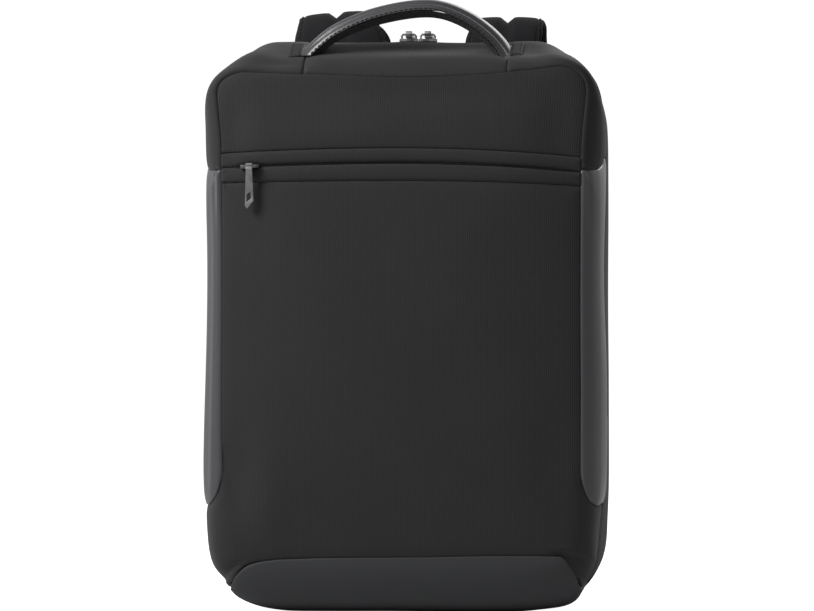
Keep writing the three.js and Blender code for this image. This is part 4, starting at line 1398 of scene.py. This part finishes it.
# Handle: a coated cover with two long rolls over a mesh underside
handle = {
    "shift": 3, "halfSpan": 75, "foot": bag["ridge"] - 16, "rise": 40, "depth": -31, "tilt": 0.3,
    "width": 30, "thickness": 13.5, "coverShare": 0.6, "endWidth": 24, "leftEnd": 8, "rightEnd": 13,
    "groove": 2.4, "grooveAt": 0.25, "grooveReach": 0.05, "hem": 0.5, "hemReach": 0.05, "endFade": 6,
    "flap": 0.9, "flapRun": 0.12, "clear": 1.2, "stations": 170,
}
handleLine = [  # along is a share of the half span, up of the rise
    (-1.05, -0.02), (-0.97, 0.17), (-0.84, 0.39), (-0.68, 0.59), (-0.33, 0.85), (0.11, 1.0), (0.35, 0.97),
    (0.61, 0.77), (0.84, 0.44), (0.95, 0.16), (0.98, -0.08),
]


def handleRings(start, gap, turns, shape):
    points = [
        (handle["shift"] + along * handle["halfSpan"], handle["depth"], handle["foot"] + up * handle["rise"])
        for along, up in handleLine
    ]
    line, length = smoothPath(points, handle["stations"])
    ahead = tangents(line)
    rings, cut = [], []
    for i, (at, way) in enumerate(zip(line, ahead)):
        share = i / (len(line) - 1)
        up = np.array([-way[2], 0, way[0]])
        swell = math.sin(math.pi * share) ** 0.5 if 0 < share < 1 else 0
        lean = handle["tilt"] * (1 - swell)
        acrossWay = np.array([0, math.cos(lean), math.sin(lean)])
        halfAcross = mix(handle["endWidth"], handle["width"], swell) / 2
        endThickness = mix(handle["leftEnd"], handle["rightEnd"], share)
        halfThick = mix(endThickness, handle["thickness"], swell) / 2
        level = halfThick * (1 - 2 * handle["coverShare"])
        high = halfThick - level if start == 0 else halfThick + level
        ring, flat = [], []
        for turn in turns:
            angle = start + turn * math.pi
            grow = shape(turn, share)
            point = at + up * (level + gap + (high + grow) * math.sin(angle))
            flap = handle["flap"] * np.clip((share - 1) / handle["flapRun"] + 1, 0, 1) ** 2
            wider = 1 + flap * max(0, math.cos(angle))
            point = point - acrossWay * (halfAcross * wider + grow * 0.6) * math.cos(angle)
            point[2] = max(point[2], topHeight(point[0], point[1]) + handle["clear"])
            ring.append(point)
            flat.append((turn * 40, share * length))
        rings.append(ring)
        cut.append(flat)
    return np.array(rings), np.array(cut)


def makeHandle():
    def coverShape(turn, share):
        grooves = 0
        for at in (handle["grooveAt"], 1 - handle["grooveAt"]):
            grooves += math.exp(-(((turn - at) / handle["grooveReach"]) ** 2))
        hem = sum(math.exp(-((away / handle["hemReach"]) ** 2)) for away in (turn, 1 - turn))
        fade = min(1, handle["endFade"] * share, handle["endFade"] * (1 - share))
        return -handle["groove"] * grooves * fade + handle["hem"] * hem

    turns = np.linspace(0, 1, 61)
    rings, cut = handleRings(0, 0.2, turns, coverShape)
    cover = sweep("handleCover", rings, looks["handle"], cut)
    dress(cover, ["handle_cover"])
    below, cut = handleRings(math.pi, -0.2, np.linspace(0, 1, 25), lambda turn, share: -0.5)
    under = sweep("handleUnderside", below, looks["mesh"], cut)
    dress(under, ["handle_underside"])
    runs = []
    for k, way in ((3, -1), (-4, 1)):
        line = rings[6:-6, k]
        normals = np.tile(np.array([0.0, way, 0.15]), (len(line), 1))
        runs.append((line + normals * 0.15, normals))
    dress(stitches("handleStitches", runs))


# A tab at each end of the handle, laid on the top and stitched down
tab = {
    "columns": 13, "rows": 31, "lift": 1.7, "cloth": 0.5, "sink": 0.3, "edgeRise": 0.8, "edgeRun": 1.2,
    "stitchInset": 1.6, "stitchEnd": 1.5, "stitchLift": 3.05, "stitchPoints": 30,
}


def overTop(x, y, lift):
    base = np.array([x, y, topHeight(x, y)])
    return base + np.array([0, 0, lift]) + np.array([0, 0, unevenness(base)])


def makeTab(word, low, high):
    xs = np.linspace(low[0], high[0], tab["columns"])
    ys = np.linspace(low[1], high[1], tab["rows"])
    points, faces = [], []
    for layer in (1, 0):
        for x in xs:
            for y in ys:
                edge = min(x - xs[0], xs[-1] - x, y - ys[0], ys[-1] - y)
                rounded = tab["edgeRise"] * min(1, (edge / tab["edgeRun"])) ** 0.5 if edge > 0 else 0
                lift = rounded + tab["cloth"] if layer else -tab["sink"]
                points.append(overTop(x, y, tab["lift"] + lift))
    columns, rows = len(xs), len(ys)
    layerSize = columns * rows
    for i in range(columns - 1):
        for j in range(rows - 1):
            a = i * rows + j
            b = layerSize + a
            faces.append((a, a + rows, a + rows + 1, a + 1))
            faces.append((b, b + 1, b + rows + 1, b + rows))
    border = [i * rows for i in range(columns)] + [(columns - 1) * rows + j for j in range(1, rows)]
    border += [i * rows + rows - 1 for i in range(columns - 2, -1, -1)] + list(range(rows - 2, 0, -1))
    for a, b in zip(border, border[1:] + border[:1]):
        faces.append((a, b, layerSize + b, layerSize + a))
    # The tab's cloth carries painted shade: its colour is darkened for the shade it lies in
    piece = makeObject(f"handleTab{word.title()}", points, faces, looks["tab"], np.array(points)[:, :2])
    fixNormals(piece)
    dress(piece, [f"handle_tab_{word}"])


def makeTabs():
    runs = []
    for word in ("left", "right"):
        low, high = nodeBox(f"handle_tab_{word}")
        makeTab(word, low, high)
        for x in (low[0] + tab["stitchInset"], high[0] - tab["stitchInset"]):
            ys = np.linspace(low[1] + tab["stitchEnd"], high[1] - tab["stitchEnd"], tab["stitchPoints"])
            line = np.array([overTop(x, y, tab["stitchLift"]) for y in ys])
            runs.append((line, np.tile(np.array([0.0, 0.0, 1.0]), (len(ys), 1))))
    dress(stitches("tabStitches", runs))


makeHandle()
makeTabs()
print("handle made")


# Shoulder straps
strap = {
    "thickness": 11, "slack": 2.6, "swellMost": 2.4, "groove": 4.6, "reach": 40, "rise": 23.2, "drop": 6,
    "endZ": 182, "endBack": 0.6, "sweep": 26, "endRun": 56, "left": -57, "right": 63, "leftLift": 4,
    "backProud": 2, "clear": 0.3, "stations": 210, "around": 96, "binding": 0.84, "endRound": 0.035,
    "endWidth": 0.55, "endThick": 0.45, "endSwell": 0.3,
    "grooveWide": 0.12, "backGroove": 1.0, "grooveFade": 0.09,
    "seam": 0.7, "seamWide": 0.025, "ripple": 0.25, "ripples": 64, "sewnAt": 0.9, "crossSewn": 0.93,
}
anchor = {"inset": 43.5, "foot": 34, "length": 46}
strapLine = [  # back and up are shares of reach and rise, down of the drop to the end, out of the sweep
    (0, 0, 0.16, 0), (0, 0, 0.06, 0), (0, 0.08, 0, 0), (0.04, 0.55, 0, 0.01), (0.24, 0.9, 0, 0.02),
    (0.5, 1, 0, 0.03), (0.78, 0.83, 0, 0.05), (0.97, 0.4, 0, 0.07), (1.06, 0, 0.04, 0.1), (1.1, 0, 0.2, 0.22),
    (1.05, 0, 0.42, 0.4), (0.92, 0, 0.55, 0.5), (0.72, 0, 0.68, 0.6),
]
strapRows = [  # widths, shifts and rolls are each (share of the length, value)
    {
        "word": "left", "side": -1, "x": strap["left"], "lift": strap["leftLift"],
        "widths": [(0, 70), (0.1, 75), (0.13, 74), (0.2, 57), (0.32, 57), (0.6, 60), (0.85, 54), (1, 44)],
        "shifts": [(0, 1), (0.1, 2.6), (0.13, 2.4), (0.2, -3.2), (0.4, -1), (0.7, 0), (1, 0)],
        "rolls": [(0, 0), (0.12, 0), (0.2, 1.8), (0.3, 1.8), (0.5, 0), (1, 0)],
    },
    {
        "word": "right", "side": 1, "x": strap["right"], "lift": 0,
        "widths": [(0, 62), (0.1, 61), (0.13, 60), (0.2, 55), (0.32, 57), (0.6, 60), (0.85, 54), (1, 44)],
        "shifts": [(0, 2), (0.1, 3.3), (0.2, 5), (0.4, 2.5), (0.7, 0), (1, 0)],
        "rolls": [(0, 0), (1, 0)],
    },
]


def strapEnd(row):
    y = bag["backY"] + strap["backProud"] + strap["clear"] + strap["thickness"] / 2
    x = row["x"] + row["side"] * strap["sweep"]
    at = np.array([x, y + strap["endBack"] * strap["reach"], strap["endZ"]])
    foot = anchor["foot"] + anchor["length"]
    lean = math.atan2(row["side"] * (bag["half"] - anchor["inset"]) - at[0], at[2] - foot)
    return at, lean, y


def strapCentre(row):
    at, lean, y = strapEnd(row)
    top = bag["ridge"] - strap["drop"]
    points = [
        (row["x"] + row["side"] * out * strap["sweep"], y + back * strap["reach"],
         top + up * (strap["rise"] + row["lift"]) - down * (top - strap["endZ"]))
        for back, up, down, out in strapLine
    ]
    run = np.array([-math.sin(lean), 0, math.cos(lean)])
    points += [tuple(at + run * share * strap["endRun"]) for share in (1, 0.75, 0.5, 0.25, 0)]
    return smoothPath(points, strap["stations"])


# The strap's section before it swells: a flat oval with squared sides
def strapSection():
    angle = np.arange(strap["around"]) * 2 * math.pi / strap["around"]
    u = np.sign(np.cos(angle)) * np.abs(np.cos(angle)) ** 0.6
    v = np.sign(np.sin(angle)) * np.abs(np.sin(angle)) ** 0.75
    return u, v


def strapValue(row, key, shares):
    table = np.array(row[key], float)
    return smoothColumn(table[:, 0], table[:, 1], shares)


def makeStraps():
    u, v = strapSection()
    for row in strapRows:
        line, length = strapCentre(row)
        shares = np.linspace(0, 1, len(line))
        ahead = tangents(line)
        normal = unit(np.stack([0 * shares, -ahead[:, 2], ahead[:, 1]], -1))
        fromEnd = np.minimum(shares, 1 - shares) / strap["endRound"]
        rounded = np.sqrt(1 - np.clip(1 - fromEnd, 0, 1) ** 2)
        half = strapValue(row, "widths", shares) / 2 * mix(strap["endWidth"], 1, rounded)
        middle = line + np.stack([strapValue(row, "shifts", shares), 0 * shares, 0 * shares], -1)
        roll = strapValue(row, "rolls", shares)
        thin = (strap["thickness"] - strap["slack"]) / 2 * mix(strap["endThick"], 1, rounded)
        acrossWay = np.array([1.0, 0, 0])
        slackForm = middle[:, None] + (half[:, None] * u)[..., None] * acrossWay
        slackForm = slackForm + normal[:, None] * (thin[:, None] * v + roll[:, None] * u)[..., None]
        faces = tubeFaces(len(line), len(u))
        moves = swollen("strapWork", slackForm.reshape(-1, 3), faces, strap["swellMost"])
        form = slackForm + moves.reshape(slackForm.shape) * mix(strap["endSwell"], 1, rounded)[:, None, None]
        depth = strap["groove"] * np.clip(v * 3, 0, 1) + strap["backGroove"] * np.clip(-v * 3, 0, 1)
        groove = np.exp(-((u / strap["grooveWide"]) ** 2)) * depth
        seam = strap["seam"] * np.exp(-(((np.abs(u) - strap["binding"]) / strap["seamWide"]) ** 2))
        fade = np.clip((1 - shares) / strap["grooveFade"], 0, 1)[:, None]
        sink = np.sign(v) * (groove * fade + seam * np.clip(np.abs(v) * 3, 0, 1))
        wave = strap["ripple"] * np.sin(shares * strap["ripples"])[:, None]
        ripple = wave * (1 - np.abs(u) ** 3) * np.sign(v)
        form = form - normal[:, None] * (sink - ripple)[..., None]
        cutAcross = half[:, None] * u + np.where(v < 0, 100, 0)
        cut = np.stack(np.broadcast_arrays(cutAcross, (shares * length)[:, None]), -1)
        name = f"shoulderStrap{row['word'].title()}"
        piece = makeObject(name, form.reshape(-1, 3), faces, looks["strap"], cut.reshape(-1, 2))
        fixNormals(piece)
        dress(piece, [f"shoulder_strap_{row['word']}"])
        sewStrap(row, form, normal, u, v)


# Rows of stitches along the strap's bound edges, and across its end
def sewStrap(row, form, normal, u, v):
    runs = []
    for side in (-1, 1):
        for face in (-1, 1):
            near = np.abs(u - side * strap["sewnAt"]) + np.where(np.sign(v) == face, 0, 9)
            k = int(np.argmin(near))
            inner = slice(8, len(form) - 8)
            runs.append((form[inner, k] + normal[inner] * face * 0.1, normal[inner] * face))
    station = int(strap["crossSewn"] * len(form))
    top = np.where((v > 0.2) & (np.abs(u) < 0.6))[0]
    for s in (station, station + 6):
        runs.append((form[s, top], np.repeat(normal[s][None], len(top), 0)))
    dress(stitches(f"strapStitches{row['word'].title()}", runs))


makeStraps()
print("straps made")


# A carried-over solid with its edges eased
easing = {"weld": 0.00001, "flat": 2, "angle": 28, "sharp": 40, "segments": 3}  # metres and degrees


def easedCopy(node, name, material, width, body="bag"):
    obj = bpy.data.objects.new(name, nodes[node].data.copy())
    bpy.context.scene.collection.objects.link(obj)
    obj.data.materials.clear()
    obj.data.materials.append(material)
    weld = obj.modifiers.new("weld", "WELD")
    weld.merge_threshold = easing["weld"]
    flatten = obj.modifiers.new("flatten", "DECIMATE")
    flatten.decimate_type = "DISSOLVE"
    flatten.angle_limit = math.radians(easing["flat"])
    ease = obj.modifiers.new("ease", "BEVEL")
    ease.width = width * mm
    ease.segments = easing["segments"]
    ease.limit_method = "ANGLE"
    ease.angle_limit = math.radians(easing["angle"])
    applyModifiers(obj)
    obj.data.polygons.foreach_set("use_smooth", [True] * len(obj.data.polygons))
    obj.data.set_sharp_from_angle(angle=math.radians(easing["sharp"]))
    setCut(obj.data, readPoints(obj.data)[:, [0, 2]] * mm)
    return dress(obj, [node], body)


for word in ("left", "right"):
    title = word.title()
    easedCopy(f"main_slider_{word}", f"mainSlider{title}", looks["metal"], 0.45)
    pull = f"main_pull_{word}"
    easedCopy(f"main_puller_{word}", f"mainPuller{title}", looks["metal"], 0.4, pull)
    easedCopy(f"ladder_lock_{word}", f"ladderLock{title}", looks["plastic"], 1.0)
    easedCopy(f"lock_loop_{word}", f"lockLoop{title}", looks["webbing"], 0.5)
    easedCopy(f"strap_webbing_{word}", f"strapWebbing{title}", looks["webbing"], 0.5)
    easedCopy(f"anchor_tab_{word}", f"anchorTab{title}", looks["strap"], 0.9)
easedCopy("pocket_slider", "pocketSlider", looks["metal"], 0.35)
easedCopy("pocket_puller", "pocketPuller", looks["metal"], 0.35, "pocket_pull")


# Back panel: air mesh over two pads with a channel between them
back = {
    "corner": 44, "channel": 15, "depth": 3.5, "pads": 3.2, "padReach": 9, "crossAt": (150, 285),
    "crossReach": 5.5, "crossShare": 0.8, "borderAt": 17, "borderReach": 3.2, "borderShare": 0.7,
    "edgeRun": 14,
}


def makeBack():
    low, high = nodeBox("back_panel")
    corner = back["corner"]
    right, top, foot = high[0] - corner, high[2] - corner, low[2] + corner
    turn = np.linspace(0, math.pi / 2, 20)
    outline = []
    for quarter, (x, z) in enumerate([(right, top), (-right, top), (-right, foot), (right, foot)]):
        angle = turn + quarter * math.pi / 2
        outline.append(np.stack([x + corner * np.cos(angle), z + corner * np.sin(angle)], -1))
    outline = np.concatenate(outline + [outline[0][:1]])

    def surface(u, v):
        return np.stack([u, np.full_like(u, high[1] - back["pads"]), v], -1)

    def pads(flat, base, edge):
        x, z = flat[:, 0], flat[:, 1]
        centre = np.exp(-((x / back["channel"]) ** 4))
        cross = sum(np.exp(-(((z - at) / back["crossReach"]) ** 2)) for at in back["crossAt"])
        border = np.exp(-(((edge - back["borderAt"]) / back["borderReach"]) ** 2))
        channels = np.maximum(np.maximum(centre, cross * back["crossShare"]), border * back["borderShare"])
        sink = back["depth"] * channels * np.clip(edge / back["edgeRun"], 0, 1)
        return back["pads"] * (1 - np.exp(-edge / back["padReach"])) - sink

    piece = sewPanel("backPanel", [outline], surface, looks["mesh"], puff=0, shape=pads, cell=2.4)
    dress(piece, ["back_panel"])


makeBack()
print("back made")

# Floor, light and camera
studio = {
    "azimuth": 4.5, "elevation": 0.6, "distance": 6.0, "frameWidth": 0.6045, "sensor": 36,
    "target": (0.0, 0.0, 0.2258), "aim": (0.0, 0.0, 0.25), "floorReach": 9,
    "world": 0.17, "backdrop": 1.05, "mirrored": 0.5,
    "lights": [  # name, place, size, watts
        ("keyLight", (-0.82, -0.5, 0.95), (0.35, 0.45), 10.5),
        ("leftStrip", (-1.6, 0.5, 0.3), (0.25, 1.2), 2.4),
        ("topLight", (-0.3, -0.7, 2.0), (1.0, 0.5), 1.8),
        ("backLight", (0.7, 2.0, 1.4), (1.2, 1.2), 11),
    ],
}


def makeStudio():
    floorMesh = bpy.data.meshes.new("floor")
    reach = studio["floorReach"]
    corners = [(-reach, -reach, 0), (reach, -reach, 0), (reach, reach, 0), (-reach, reach, 0)]
    floorMesh.from_pydata(corners, [], [(0, 1, 2, 3)])
    floor = bpy.data.objects.new("floor", floorMesh)
    bpy.context.scene.collection.objects.link(floor)
    material, tree, shader, _ = startMaterial("paleFloor", 0.9)
    shader.inputs["Base Color"].default_value = (0.8, 0.8, 0.8, 1)
    shader.inputs["Emission Color"].default_value = (1, 1, 1, 1)
    direct = addNode(tree, "ShaderNodeLightPath").outputs["Is Camera Ray"]
    tree.links.new(direct, shader.inputs["Emission Strength"])  # white to the eye, without lighting the bag
    floor.data.materials.append(material)
    world = bpy.data.worlds.new("studio")
    bpy.context.scene.world = world
    world.use_nodes = True
    tree = world.node_tree
    tree.nodes["Background"].inputs["Color"].default_value = (1, 1, 1, 1)
    seen = addNode(tree, "ShaderNodeLightPath")
    eye = mathNode(tree, "MULTIPLY", seen.outputs["Is Camera Ray"], studio["backdrop"])
    gloss = mathNode(tree, "MULTIPLY", seen.outputs["Is Glossy Ray"], studio["mirrored"])
    strength = mathNode(tree, "MAXIMUM", mathNode(tree, "MAXIMUM", eye, gloss), studio["world"])
    tree.links.new(strength, tree.nodes["Background"].inputs["Strength"])
    for name, place, size, power in studio["lights"]:
        light = bpy.data.lights.new(name, "AREA")
        light.shape = "RECTANGLE"
        light.size, light.size_y = size
        light.energy = power
        lamp = bpy.data.objects.new(name, light)
        lamp.location = place
        aim = Vector(studio["aim"]) - Vector(place)
        lamp.rotation_euler = aim.to_track_quat("-Z", "Y").to_euler()
        bpy.context.scene.collection.objects.link(lamp)
    camera = bpy.data.objects.new("camera", bpy.data.cameras.new("camera"))
    camera.data.sensor_width = studio["sensor"]
    camera.data.lens = studio["sensor"] * studio["distance"] / studio["frameWidth"]
    camera.data.clip_end = 50
    a, e = math.radians(studio["azimuth"]), math.radians(studio["elevation"])
    back = Vector((math.sin(a) * math.cos(e), -math.cos(a) * math.cos(e), math.sin(e)))
    camera.location = Vector(studio["target"]) + back * studio["distance"]
    camera.rotation_euler = (-back).to_track_quat("-Z", "Y").to_euler()
    bpy.context.scene.collection.objects.link(camera)
    bpy.context.scene.camera = camera
    bpy.context.scene.view_settings.view_transform = "Standard"


makeStudio()
print("studio ready")
